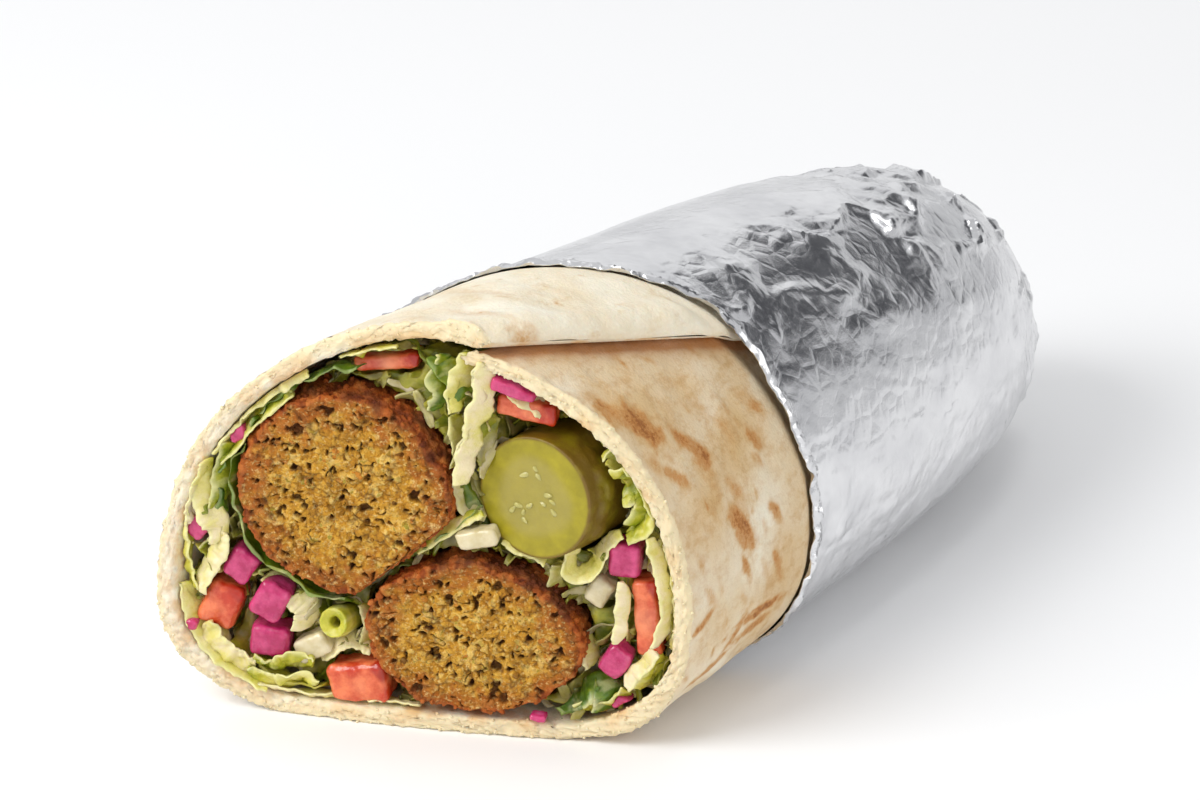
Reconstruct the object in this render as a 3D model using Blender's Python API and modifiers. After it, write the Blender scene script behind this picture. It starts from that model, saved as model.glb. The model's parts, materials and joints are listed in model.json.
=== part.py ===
"""Half of a falafel wrap, cut on the slant, lying on its side with its closed end in foil.

The flatbread is one sheet rolled once round the filling, with its flap lapped over the top right.
All of it follows one outer form: a dome on a flat foot that tapers towards a rounded end.
Lengths are in metres and angles in degrees. The form runs along +Y from the cut, and +Z is up.
"""

import math

import bmesh
import bpy
import numpy as np
from mathutils import Matrix, Vector, noise

MM = 0.001

# The wrap's outer form
HALF_WIDTH = 37.8 * MM
WIDEST_UP = 20.6 * MM  # height of the widest line above the table
RISE = 44.4 * MM  # from the widest line to the top
LOWER_FULLNESS = (2.5, 2.16)  # superellipse exponent of the lower half, at the cut and 100 mm in
FOOT_SINK = 1.115  # how far past the table the lower half would reach, which makes the flat foot
LEAN = 0.05  # the top leans to the right by this share
TAPER = 0.132 / (100 * MM)  # loss of scale per metre along the wrap
ROUND_FROM = 61 * MM
LENGTH = 148.3 * MM
END_FULLNESS = 2.94
END_UP = 26 * MM  # height that the closed end rounds towards
SLANT = 23.5  # the cut is turned this far from square
MIDDLE = (-0.5 * MM, 65.9 * MM)  # from the cut's centre to the middle of the whole, in x and y

# Flatbread
BREAD = 2.5 * MM
LAYER_GAP = 0.4 * MM
FLAP_LIFT = 0.8 * MM  # how far the flap stands out where it laps over, outside the foil
FLAP_LIFT_IN_FOIL = 0.5 * MM
HEM_START, HEM_SWEEP, HEM_REACH = 79.0, 62.0, 85 * MM  # the flap's hem drifts down the side
LAP_AT_CUT, LAP_IN_FOIL = 4.0, 34.0  # degrees of overlap
BREAD_END = 118 * MM
PLUG_FROM = 108 * MM  # the folded-in end of the sheet is solid from here

# Foil
FOIL = 0.4 * MM
FOIL_RIM = (24 * MM, 0.62, 0.20)  # the rim lies on y = a + b x + c z
FOIL_ROOM = 1.5 * MM  # how far the foil squeezes the bread
FOIL_CRUMPLE = 0.5 * MM
FOIL_LOOSE = 0.5 * MM  # how far it stands off the form above its foot
RIM_FLARE = 0.9 * MM

# Filling
CLEAR = 0.3 * MM
LEAF = 0.7 * MM
SHRED = 0.9 * MM
ROOM_MARGIN = 0.7 * MM
CORE_MARGIN = 1.25 * MM
CORE_RECESS = 4.0 * MM  # the salad's face lies this far behind the cut
HOLLOW = (14.0 * MM, 21 * MM, 46 * MM, 15 * MM)  # a hollow by the pickle: depth, across, up, reach
CORE_END = 101 * MM
SEED = 7


def smooth(value):
    """Eases from 0 to 1 as the value goes from 0 to 1."""
    value = min(max(value, 0.0), 1.0)
    return value * value * (3 - 2 * value)


def form_scale(along):
    return 1 - TAPER * max(along, 0.0)


def end_scale(along, length=LENGTH):
    """Share of the full section that is left where the closed end rounds off."""
    share = min(max((along - ROUND_FROM) / (length - ROUND_FROM), 0.0), 1.0)
    return (1 - share**END_FULLNESS) ** (1 / END_FULLNESS)


def form_point(angle, along, out=0.0, length=LENGTH):
    """A point of the wrap's outer form, or of the form grown by `out`.

    The angle runs round the section from the right-hand side over the top."""
    cos, sin = math.cos(math.radians(angle)), math.sin(math.radians(angle))
    if sin >= 0:
        x = (HALF_WIDTH + out) * cos
        z = WIDEST_UP + (RISE + out) * sin + LEAN * x * sin
    else:
        full, slim = LOWER_FULLNESS
        power = 2 / (full + (slim - full) * smooth(along / (100 * MM)))
        x = (HALF_WIDTH + out) * math.copysign(abs(cos) ** power, cos)
        z = WIDEST_UP - (WIDEST_UP * FOOT_SINK + out) * abs(sin) ** power
    z = max(z, -out, 0.0)
    scale, end = form_scale(along), end_scale(along, length)
    centre = END_UP * scale
    return Vector((x * scale * end, along, centre + (z * scale - centre) * end))


def cut_line(x):
    """Where the slanting cut crosses a given x."""
    return x * math.tan(math.radians(SLANT))


def rim_line(point):
    start, by_x, by_z = FOIL_RIM
    return start + by_x * point.x + by_z * point.z


def hem_angle(along):
    return HEM_START - HEM_SWEEP * (1 - math.exp(-max(along, -20 * MM) / HEM_REACH))


def lap_angle(along):
    return LAP_AT_CUT + (LAP_IN_FOIL - LAP_AT_CUT) * smooth((along - 4 * MM) / (30 * MM))


def flap_lift(along):
    return FLAP_LIFT + (FLAP_LIFT_IN_FOIL - FLAP_LIFT) * smooth((along - 25 * MM) / (35 * MM))


def under_foil(angle, along):
    """1 where the foil squeezes the bread, 0 in front of it."""
    ahead = along - rim_line(form_point(angle, along))
    return smooth((ahead + 8 * MM) / (6 * MM))


def flap_out(angle, along):
    """Height of the outer layer above the form, for an angle on the outer turn."""
    beyond = angle - hem_angle(along) - lap_angle(along) - 3
    return flap_lift(along) * (1 - smooth(beyond / 30))


def inner_drop(angle, along):
    """Depth of the inner layer under the form: full below the flap, none 45 degrees past the hem."""
    return (BREAD + LAYER_GAP - flap_lift(along)) * smooth((angle - hem_angle(along) + 45) / 45)


# Scene, materials and objects


def clear_scene():
    for obj in list(bpy.data.objects):
        bpy.data.objects.remove(obj)


def new_collection(name, hidden=False):
    made = bpy.data.collections.new(name)
    made.hide_render = hidden
    bpy.context.scene.collection.children.link(made)
    return made


def linear(part):
    return part / 12.92 if part <= 0.04045 else ((part + 0.055) / 1.055) ** 2.4


def new_material(name, colour, roughness, metallic=0.0):
    made = bpy.data.materials.new(name)
    made.use_nodes = True
    shader = made.node_tree.nodes["Principled BSDF"]
    rgb = [linear(int(colour[i : i + 2], 16) / 255) for i in (1, 3, 5)]
    shader.inputs["Base Color"].default_value = (*rgb, 1)
    shader.inputs["Roughness"].default_value = roughness
    shader.inputs["Metallic"].default_value = metallic
    return made


def add_object(name, mesh, material, where):
    """An object in collection `where`, riding on the wrap's frame. Helpers get no material."""
    obj = bpy.data.objects.new(name, mesh)
    where.objects.link(obj)
    obj.parent = FRAME
    if material:
        mesh.materials.append(material)
    else:
        obj.hide_render = True
        obj.display_type = "WIRE"
    return obj


def mesh_from(name, bm):
    mesh = bpy.data.meshes.new(name)
    bm.to_mesh(mesh)
    bm.free()
    return mesh


def shade(mesh, angle=35):
    mesh.shade_smooth()
    mesh.set_sharp_from_angle(angle=math.radians(angle))


def loft(rows, closed, front_pole=None, back_pole=None):
    """A surface through rows of points, closed round if asked, with its ends drawn to poles."""
    bm = bmesh.new()
    rings = [[bm.verts.new(p) for p in row] for row in rows]
    count = len(rings[0])
    last = count if closed else count - 1
    for near, far in zip(rings, rings[1:]):
        for i in range(last):
            j = (i + 1) % count
            bm.faces.new((near[i], near[j], far[j], far[i]))
    for ring, pole, turn in ((rings[0], front_pole, -1), (rings[-1], back_pole, 1)):
        if pole is None:
            continue
        tip = bm.verts.new(pole)
        for i in range(last):
            bm.faces.new([ring[i], ring[(i + 1) % count], tip][::turn])
    return bm


def solidify(obj, thickness, offset=-1.0):
    modifier = obj.modifiers.new("thickness", "SOLIDIFY")
    modifier.thickness = thickness
    modifier.offset = offset
    modifier.use_even_offset = True


def boolean(obj, operation, collection=None, other=None, solver="EXACT"):
    """Adds a Boolean. MANIFOLD is asked for where EXACT loses the mesh or leaves slivers."""
    modifier = obj.modifiers.new(operation.lower(), "BOOLEAN")
    modifier.operation = operation
    modifier.solver = solver
    if collection:
        modifier.operand_type = "COLLECTION"
        modifier.collection = collection
    else:
        modifier.object = other
    return modifier


def settle(obj, merge_flat=False):
    """Applies the object's modifiers and drops the scraps that a cut leaves loose."""
    bpy.context.view_layer.update()
    graph = bpy.context.evaluated_depsgraph_get()
    mesh = bpy.data.meshes.new_from_object(obj.evaluated_get(graph))
    obj.modifiers.clear()
    obj.data = mesh
    bm = bmesh.new()
    bm.from_mesh(mesh)
    bmesh.ops.remove_doubles(bm, verts=bm.verts, dist=0.01 * MM)
    bmesh.ops.dissolve_degenerate(bm, edges=bm.edges, dist=0.01 * MM)
    if merge_flat:
        bmesh.ops.dissolve_limit(bm, angle_limit=math.radians(1), verts=bm.verts, edges=bm.edges)
    bmesh.ops.triangulate(bm, faces=bm.faces)
    left, bodies = set(bm.verts), []
    while left:
        front = [left.pop()]
        body = set(front)
        while front:
            for edge in front.pop().link_edges:
                for vert in edge.verts:
                    if vert in left:
                        left.discard(vert)
                        body.add(vert)
                        front.append(vert)
        bodies.append(body)
    keep = max(bodies, key=len)
    bmesh.ops.delete(bm, geom=[v for v in bm.verts if v not in keep], context="VERTS")
    bm.to_mesh(mesh)
    bm.free()
    return obj


def place_on_cut(obj, across, up, depth, turn=(0, 0, 0)):
    """Puts an object at a place on the cut: across it, up it and behind it."""
    slant = Matrix.Rotation(math.radians(SLANT), 4, "Z")
    spin = Matrix.LocRotScale((across, depth, up), None, None)
    for axis, degrees in zip("XYZ", turn):
        spin = spin @ Matrix.Rotation(math.radians(degrees), 4, axis)
    obj.matrix_local = slant @ spin
    return obj


# Flatbread and foil


def bread_row(share, columns):
    """One row of the sheet's outer surface, from its tucked-in start round to the flap's hem.

    The share runs along the wrap, from the cut to the sheet's hidden end."""
    row = []
    for i in range(columns + 1):
        turn = i / columns
        along = 0.0
        for _ in range(3):
            start = hem_angle(along) + lap_angle(along)
            angle = start + (hem_angle(along) - 360 - start) * turn
            front = cut_line(form_point(angle, along).x)
            wave = 0.5 * MM * math.sin(math.radians(5 * angle)) * (1 - share)
            along = front + wave + (BREAD_END - front) * share
        outer = angle + 360
        lift = flap_out(outer, along) if turn > 0.5 else -inner_drop(angle, along)
        row.append(form_point(angle, along, lift - FOIL_ROOM * under_foil(angle, along)))
    return row


def build_bread(material, where, cutters):
    columns = 48
    shares = [0, 0.04, 0.12, 0.2, 0.29, 0.39, 0.5, 0.66, 0.83, 1]
    rows = [bread_row(share, columns) for share in shares]
    mesh = mesh_from("flatbread", loft(rows, closed=False))
    bread = add_object("flatbread", mesh, material, where)
    solidify(bread, BREAD)
    inset = -(FOIL_ROOM + 0.5 * BREAD)
    length = LENGTH - 3 * MM
    stations = [PLUG_FROM, 118 * MM, 128 * MM, 136 * MM, 141 * MM]
    rings = [[form_point(10 * i, y, inset, length) for i in range(36)] for y in stations]
    poles = [(0, y, END_UP * form_scale(y)) for y in (PLUG_FROM, length)]
    plug = loft(rings, True, *poles)
    bmesh.ops.recalc_face_normals(plug, faces=plug.faces)
    folded = add_object("folded_end", mesh_from("folded_end", plug), None, cutters)
    boolean(bread, "UNION", other=folded, solver="MANIFOLD")
    settle(bread, merge_flat=True)
    bpy.data.objects.remove(folded)
    shade(bread.data)
    return bread


def foil_row(share, columns):
    """One ring of the foil's outer surface. The share runs from the rim to the closed end."""
    row = []
    for i in range(columns):
        angle = 360 * (columns - i) / columns
        along = 30 * MM
        for _ in range(4):
            rim = rim_line(form_point(angle, along))
            rim += 0.8 * MM * math.sin(math.radians(7 * angle + 40))
            reach = math.sin(math.radians(90 * share)) ** 0.9
            along = rim + (LENGTH - rim) * reach
        top = form_point(angle, along)
        past_hem = hem_angle(along) - angle
        lift = flap_lift(along) * (1 - smooth(past_hem / 25)) if past_hem > 0 else flap_out(angle, along)
        lift = lift if angle < 180 else 0.0
        flare = RIM_FLARE * math.exp(-(along - rim) / (4 * MM))
        crumple = FOIL_CRUMPLE * (0.5 + 0.5 * noise.noise(top / (9 * MM)))
        pleats = 0.6 * MM * (1 + math.sin(math.radians(11 * angle))) * smooth((along - 118 * MM) / (20 * MM))
        free = smooth(top.z / (12 * MM))
        row.append(form_point(angle, along, lift + (FOIL_LOOSE + flare - crumple - pleats) * free))
    return row


def build_foil(material, where):
    columns = 36
    steps = 13
    rows = [foil_row(step / steps, columns) for step in range(steps)]
    pole = (0, LENGTH, END_UP * form_scale(LENGTH))
    bm = loft(rows, closed=True, back_pole=pole)
    foil = add_object("foil_sleeve", mesh_from("foil_sleeve", bm), material, where)
    solidify(foil, FOIL)
    shade(foil.data, 25)
    return foil


# Filling


BLUNT = 2.5  # the balls are fuller than round behind their cut faces
CRAG = 0.6 * MM
CRUMB = 0.35 * MM


def ball(name, radii, cut, flat_side, material, where, grow, detail):
    """A fried ball with a craggy crust, cut open in front at `cut` before its centre.

    flat_side is a direction and a distance at which the ball is pressed flat by its neighbour."""
    bm = bmesh.new()
    bmesh.ops.create_icosphere(bm, subdivisions=detail, radius=1.0)
    offset = Vector((radii[0] * 900, 3.1, radii[2] * 700))
    for vert in bm.verts:
        way = vert.co.normalized()
        way /= (math.hypot(way.x, way.z) ** BLUNT + abs(way.y) ** BLUNT) ** (1 / BLUNT)
        crag = 0.0 if grow else CRAG * noise.fractal(way * 6 + offset, 0.7, 2.2, 3)
        point = Vector([w * r for w, r in zip(way, radii)]) + way * (crag + grow)
        if flat_side:
            toward, distance = Vector(flat_side[0]).normalized(), flat_side[1] + grow
            over = point.dot(toward) - distance
            if over > 0:
                point -= toward * over * 0.93
        crumb = CRUMB * (1 + noise.noise(point / (2.2 * MM) + offset))
        point.y = max(point.y, -cut - grow + crumb * (grow == 0))
        vert.co = point
    obj = add_object(name, mesh_from(name, bm), material, where)
    shade(obj.data, 50)
    return obj


FALAFELS = {
    # across, up, depth of the centre, radii, cut before the centre, side pressed flat
    "falafel_upper": ((-11.8, 37.1, 4.5), (16.0, 13.0, 16.1), 4.5, ((0.676, 0, -0.737), 12.5)),
    "falafel_lower": ((7.6, 15.6, 3.6), (16.3, 13.5, 11.8), 3.6, None),
}


def build_falafels(material, where, grow=0.0, prefix=""):
    made = []
    detail = 3 if grow else 4
    for name, (place, radii, cut, flat) in FALAFELS.items():
        flat = (flat[0], flat[1] * MM) if flat else None
        radii = [r * MM for r in radii]
        obj = ball(prefix + name, radii, cut * MM, flat, material, where, grow, detail)
        made.append(place_on_cut(obj, *[v * MM for v in (place[0], place[1], place[2])]))
    return made


PICKLE_RADIUS = 9.4 * MM
PICKLE_LENGTH = 44 * MM
PICKLE_FRONT = (15.2 * MM, 7.3 * MM, 39.3 * MM)  # centre of its sliced end
PICKLE_WAY = (0.0, 1.0, -0.07)  # it dips a little towards its hidden end


def build_pickle(material, where, grow=0.0, prefix=""):
    """A pickled cucumber, sliced square in front and rounded at its hidden end."""
    radius, length = PICKLE_RADIUS + grow, PICKLE_LENGTH + grow
    straight = 0.72 * PICKLE_LENGTH
    profile = [(0, -grow), (radius - 0.4 * MM, -grow), (radius, 0.5 * MM)]
    profile += [(radius * 1.02, 0.35 * PICKLE_LENGTH), (radius * 0.99, straight)]
    for step in range(1, 4):
        turn = math.radians(90 * step / 4)
        profile.append((radius * math.cos(turn), straight + (length - straight) * math.sin(turn)))
    profile.append((0, length))
    bm = bmesh.new()
    verts = [bm.verts.new((r, 0, -z)) for r, z in profile]
    for a, b in zip(verts, verts[1:]):
        bm.edges.new((a, b))
    name = prefix + "pickled_cucumber"
    pickle = add_object(name, mesh_from(name, bm), material, where)
    turn_about_axis(pickle, 16 if grow else 24)
    way = Vector(PICKLE_WAY).normalized()
    turned = (-way).to_track_quat("Z", "X").to_matrix().to_4x4()
    pickle.matrix_local = Matrix.Translation(PICKLE_FRONT) @ turned
    if not grow:
        shade(pickle.data, 40)
    return pickle


def turn_about_axis(obj, steps):
    screw = obj.modifiers.new("turned", "SCREW")
    screw.axis = "Z"
    screw.steps = screw.render_steps = steps
    screw.use_merge_vertices = True
    screw.merge_threshold = 0.00005
    screw.use_normal_calculate = True


# Diced pieces: across, up, depth of the centre; width, depth, height; turn about the face's normal.
# All in millimetres and degrees.
DICE = {
    "turnip": [
        ((-34.7, 29.4, 2.4), (3.4, 3.6, 3.8), 42),
        ((-28.4, 23.4, 2.9), (4.6, 4.6, 5.2), 34),
        ((-23.8, 18.1, 2.8), (5.0, 5.2, 5.9), 28),
        ((-24.1, 11.3, 3.2), (5.8, 5.2, 5.0), 4),
        ((13.7, 56.7, 2.3), (7.1, 4.0, 3.4), 12),
        ((30.1, 30.2, 3.0), (4.9, 4.6, 5.3), 4),
        ((28.7, 13.2, 2.9), (4.0, 4.2, 4.9), 36),
        ((-28.6, 45.5, 2.2), (2.9, 2.8, 3.3), -30),
        ((29.7, 6.4, 2.7), (2.5, 3.0, 2.5), 25),
        ((17.4, 3.5, 0.3), (2.6, 2.4, 1.6), 4),
        ((-36.3, 13.6, 0.9), (2.1, 2.4, 1.4), 15),
    ],
    "tomato": [
        ((-31.7, 16.4, 3.9), (5.8, 5.6, 7.2), 22),
        ((-10.3, 5.9, 2.9), (9.1, 6.0, 6.4), -9),
        ((33.6, 20.9, 3.8), (3.9, 5.4, 12.2), -4),
        ((15.2, 52.1, 5.2), (8.6, 5.0, 3.3), 8),
        ((-6.1, 57.5, 5.6), (10.0, 4.4, 2.2), -9),
    ],
    "onion": [
        ((-17.6, 10.9, 2.9), (5.5, 4.2, 3.6), -28),
        ((8.2, 32.1, 0.9), (6.2, 3.2, 2.8), -14),
        ((26.2, 24.1, 3.9), (3.6, 4.4, 4.5), 30),
    ],
}


def build_dice(kind, material, where, grow=0.0, prefix="", room=None):
    """Knife-cut cubes, each with its corners a little out of true and kept clear of the bread."""
    random = np.random.default_rng(SEED)
    made = []
    for number, (place, size, turn) in enumerate(DICE[kind], start=1):
        bm = bmesh.new()
        bmesh.ops.create_cube(bm, size=1.0)
        for vert in bm.verts:
            uneven = random.uniform(-0.06, 0.06, 3)
            side = [s * MM + 2 * grow for s in size]
            vert.co = Vector([c * (1 + u) * s for c, u, s in zip(vert.co, uneven, side)])
        name = f"{prefix}{kind}_{number:02d}"
        obj = add_object(name, mesh_from(name, bm), material, where)
        if not grow:
            bevel = obj.modifiers.new("worn_edges", "BEVEL")
            bevel.width = 0.12 * min(size) * MM
            bevel.segments = 1
        made.append(place_on_cut(obj, *[v * MM for v in place], turn=(0, turn, 0)))
        if room:
            boolean(obj, "INTERSECT", other=room)
            settle(obj)
    return made


def cut_axes():
    """The directions across the cut and behind it."""
    turn = math.radians(SLANT)
    return Vector((math.cos(turn), math.sin(turn), 0)), Vector((-math.sin(turn), math.cos(turn), 0))


def on_cut(across, up, depth):
    """A point given by its place on the cut and its depth behind it, in millimetres."""
    sideways, inwards = cut_axes()
    return sideways * across * MM + inwards * depth * MM + Vector((0, 0, up * MM))


def curve_through(points, count):
    """Evenly stepped points of a smooth curve through the given ones."""
    points = np.array(points, float)
    ends = np.vstack([2 * points[0] - points[1], points, 2 * points[-1] - points[-2]])
    made = []
    for step in range(count + 1):
        place = step / count * (len(points) - 1)
        at = min(int(place), len(points) - 2)
        t = place - at
        a, b, c, d = ends[at : at + 4]
        made.append(0.5 * (2 * b + (c - a) * t + (2 * a - 5 * b + 4 * c - d) * t**2
                           + (3 * b - a - 3 * c + d) * t**3))
    return made


# Leaves and shreds are ribbons: path on the cut (across, up), depth of the front edge, width,
# tilt of the width away from the wrap's length, number of ruffles and their height.
LEAVES = {
    "leaf_behind_falafel": (
        [(-25.6, 47.9), (-28.1, 43.3), (-29.3, 36.8), (-28.3, 31.2), (-25.8, 26.4), (-21.8, 22.6), (-17.0, 20.2), (-12.2, 19.5)],
        (0.6, 5.6, -12, 3, 0.4),
    ),
    "leaf_top": ([(0.6, 59.8), (1.4, 57.6), (3.4, 55.8), (5.4, 53.4)], (1.0, 4.6, 50, 1, 0.5)),
    "leaf_top_left": ([(-9.8, 57.6), (-15.6, 56.1), (-21.2, 52.9), (-24.9, 48.4)], (0.8, 5.0, 0, 3, 0.4)),
    "leaf_left": ([(-30.2, 41.0), (-31.8, 38.0), (-32.0, 35.0), (-30.8, 32.0)], (1.0, 4.0, -16, 2, 0.5)),
    "leaf_right": ([(26.8, 44.6), (29.2, 42.6), (30.4, 39.6), (31.4, 36.4)], (2.6, 5.8, 40, 3, 0.7)),
    "leaf_low_left": ([(-27.6, 9.8), (-24.0, 5.9), (-19.8, 4.7), (-15.8, 5.0)], (0.8, 5.0, -20, 3, 0.5)),
    "leaf_low_right": ([(20.2, 4.2), (21.6, 4.4), (24.4, 6.0), (26.4, 9.0)], (0.8, 5.2, 30, 2, 0.5)),
    "leaf_between": ([(-0.1, 28.8), (3.6, 32.2), (8.0, 36.3)], (0.6, 4.0, 8, 1, 0.2)),
    "leaf_by_tomato": ([(30.2, 23.0), (30.0, 20.4), (29.4, 17.8)], (2.6, 4.4, 10, 1, 0.3)),
}
SHREDS = [
    ([(9.4, 60.0), (9.2, 57.0), (8.2, 52.4), (7.4, 47.6), (7.8, 42.6)], (1.2, 4.4, 30, 2, 0.5)),
    ([(4.6, 59.8), (6.4, 57.4), (6.0, 53.4)], (1.8, 4.0, 40, 1, 0.4)),
    ([(-36.0, 27.0), (-34.0, 24.6), (-32.2, 21.6)], (0.4, 5.0, 0, 1, 0.3)),
    ([(-36.2, 22.4), (-34.8, 19.6), (-35.2, 16.4)], (0.8, 4.4, 0, 1, 0.3)),
    ([(-33.6, 37.0), (-34.6, 33.0), (-35.6, 28.6)], (0.8, 4.4, 0, 1, 0.3)),
    ([(-29.8, 32.0), (-30.8, 30.0), (-29.6, 27.4)], (1.2, 5.0, 0, 1, 0.3)),
    ([(-31.4, 10.4), (-28.2, 6.4), (-23.4, 3.9)], (1.0, 4.6, 0, 1, 0.3)),
    ([(-17.0, 3.9), (-11.6, 3.6), (-5.6, 3.6), (-1.6, 4.2)], (1.0, 4.6, 0, 1, 0.3)),
    ([(-16.6, 9.4), (-12.4, 12.0), (-8.4, 12.0)], (1.6, 4.6, -10, 1, 0.4)),
    ([(-19.4, 18.6), (-17.0, 17.0), (-16.4, 14.8)], (2.2, 4.0, 0, 1, 0.2)),
    ([(33.6, 9.8), (35.2, 13.6), (36.6, 18.0), (36.8, 22.6)], (1.0, 5.0, 0, 1, 0.4)),
    ([(23.8, 31.4), (26.0, 30.2), (26.2, 28.2)], (1.2, 5.0, 0, 1, 0.2)),
    ([(31.2, 26.0), (31.4, 22.4), (31.0, 18.0)], (1.0, 4.6, 0, 1, 0.2)),
    ([(26.6, 3.6), (30.2, 5.4), (33.0, 8.4)], (1.0, 4.6, 0, 1, 0.3)),
    ([(35.9, 26.4), (35.6, 30.6), (34.4, 34.4)], (1.0, 5.0, 0, 1, 0.4)),
    ([(-2.6, 60.4), (-7.4, 60.3), (-12.6, 59.0)], (2.0, 5.0, 0, 1, 0.3)),
]


def ribbon(name, path, shape, thickness, material, where, strands=2, grow=0.0):
    """A thin ruffled strip that follows a path on the cut and runs inwards from it.

    Grown, it is larger by that many millimetres all round, and straight and thick enough to
    hold the ruffles."""
    depth, width, tilt, ruffles, height = shape
    if grow:
        thickness += (2 * grow + 2 * height) * MM
        depth, width, ruffles, height, strands = depth - grow, width + 2 * grow, 0, 0.0, 1
    sideways, _ = cut_axes()
    cos, sin = math.cos(math.radians(tilt)), math.sin(math.radians(tilt))
    count = len(path) + strands * ruffles
    line = curve_through(path, count)
    for end, inner in ((0, 1), (-1, -2)):
        away = line[end] - line[inner]
        line[end] = line[end] + away * grow / np.hypot(*away)
    rows = []
    for i, (across, up) in enumerate(line):
        ahead, behind = line[min(i + 1, count)], line[max(i - 1, 0)]
        along = Vector((ahead[0] - behind[0], 0, ahead[1] - behind[1])).normalized()
        outwards = Vector((-along.z * sideways.x, -along.z * sideways.y, along.x))
        spread = Vector((0, cos, 0)) + outwards * sin
        face = outwards * cos - Vector((0, sin, 0))
        narrowed = 1 - 0.45 * abs(2 * i / count - 1) ** 3
        row = []
        for j in range(strands + 1):
            share = j / strands
            phase = 2 * math.pi * ruffles * i / count + 2.2 * share
            wave = height * math.sin(phase) * (1 - 0.8 * share)
            reach = spread * width * narrowed * share
            row.append(on_cut(across, up, depth) + (reach + face * wave) * MM)
        rows.append(row)
    obj = add_object(name, mesh_from(name, loft(rows, closed=False)), material, where)
    obj.modifiers.new("triangles", "TRIANGULATE").quad_method = "FIXED"
    solidify(obj, thickness, 0.0)
    return obj


def room_inset(angle, along):
    """Depth of the bread's inner face under the outer form, for an angle from -90 to 270."""
    past_end = angle - hem_angle(along) - lap_angle(along) - 2
    drop = inner_drop(angle, along) * (1 - smooth(past_end / 12))
    return BREAD + drop + FOIL_ROOM * under_foil(angle, along)


def room_ring(depth, columns, margin, share=1.0):
    """A ring on the bread's inner face: parallel to the cut in front, square to the wrap behind."""
    ring = []
    for i in range(columns):
        angle = -90 + 360 * i / columns
        along = depth
        for _ in range(2):
            x = form_point(angle, along, -room_inset(angle, along) - margin).x
            along = depth + cut_line(x) * (1 - smooth(depth / (60 * MM)))
        point = form_point(angle, along, -room_inset(angle, along) - margin)
        if point.z < BREAD + margin:
            point.z = BREAD + margin
        centre = Vector((0, depth, 0.45 * (WIDEST_UP + RISE)))
        ring.append(centre + (point - centre) * share)
    return ring


ROOM_DEPTHS = [0, 8 * MM, 16 * MM, 23 * MM, 31 * MM, 48 * MM, 70 * MM, 86 * MM, CORE_END]


def build_room(name, margin, front, columns=40):
    """The space that the bread encloses, from `front` to where the folded end closes it."""
    rings = [room_ring(depth, columns, margin) for depth in (front, *ROOM_DEPTHS)]
    poles = [Vector((0, depth, 0.45 * (WIDEST_UP + RISE))) for depth in (front, CORE_END)]
    bm = loft(rings, True, *poles)
    bmesh.ops.recalc_face_normals(bm, faces=bm.faces)
    return add_object(name, mesh_from(name, bm), None, HELPERS)


def salad_face(point):
    """How far a point of the salad's face is pushed in: uneven, with a hollow by the pickle."""
    sideways, _ = cut_axes()
    depth, across, up, reach = HOLLOW
    away = math.hypot(point.dot(sideways) - across, point.z - up)
    return depth * (1 - smooth(away / reach)) + 1.3 * MM * noise.noise(point / (4 * MM))


def build_core(material, where):
    """The mass of shredded salad behind the face that shows."""
    columns = 30
    front = CORE_RECESS / math.cos(math.radians(SLANT))
    rings = [room_ring(front, columns, CORE_MARGIN, share) for share in (0.3, 0.55, 0.78, 1.0)]
    _, inwards = cut_axes()
    pushed = [[p + inwards * salad_face(p) for p in ring] for ring in rings[:-1]]
    back = [room_ring(depth, columns, CORE_MARGIN) for depth in ROOM_DEPTHS[2:-1]]
    back.append(room_ring(CORE_END - CORE_MARGIN, columns, CORE_MARGIN))
    middle = 0.45 * (WIDEST_UP + RISE)
    poles = (Vector((0, front, middle)), Vector((0, CORE_END - CORE_MARGIN, middle)))
    bm = loft(pushed + [rings[-1]] + back, True, *poles)
    bmesh.ops.recalc_face_normals(bm, faces=bm.faces)
    return add_object("salad", mesh_from("salad", bm), material, where)


def build_salad(material, where, toppings, room):
    """The shredded filling: one body that fills the bread, with the shreds that show fused on."""
    salad = build_core(material, where)
    shreds = new_collection("shreds", hidden=True)
    for number, (path, shape) in enumerate(SHREDS, start=1):
        shred = ribbon(f"shred_{number:02d}", path, shape, SHRED, None, shreds, strands=1)
        boolean(shred, "INTERSECT", other=room)
        settle(shred)
    boolean(salad, "UNION", collection=shreds)
    boolean(salad, "DIFFERENCE", collection=toppings)
    settle(salad)
    shade(salad.data, 40)
    for helper in list(shreds.objects):
        bpy.data.objects.remove(helper)
    bpy.data.collections.remove(shreds)
    return salad


def build_leaves(material, where, toppings, room):
    """The leaves that show, each cut clear of what it lies against."""
    for name, (path, shape) in LEAVES.items():
        leaf = ribbon(name, path, shape, LEAF, material, where)
        boolean(leaf, "INTERSECT", other=room)
        boolean(leaf, "DIFFERENCE", collection=toppings, solver="MANIFOLD")
        settle(leaf)
        shade(leaf.data, 50)


def build_stem(name, material, where, grow=0.0):
    """A slice across a hollow leaf rib."""
    bm = bmesh.new()
    outer, inner, length = 2.5 * MM + grow, 0.0 if grow else 0.9 * MM, 9 * MM + grow
    profile = [(inner, length), (outer * 0.8, length), (outer, 2 * MM), (outer * 0.92, -grow)]
    profile.append((0.0, -grow) if grow else (inner, 0.8 * MM))
    verts = [bm.verts.new((r, 0, -z)) for r, z in profile]
    for a, b in zip(verts, verts[1:] if grow else verts[1:] + verts[:1]):
        bm.edges.new((a, b))
    stem = add_object(name, mesh_from(name, bm), material, where)
    turn_about_axis(stem, 12)
    stem.matrix_local = Matrix.Translation(on_cut(-14.1, 15.9, 0.2)) @ (
        Vector((0.2, -1, 0.25)).to_track_quat("Z", "X").to_matrix().to_4x4())
    return stem


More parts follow.
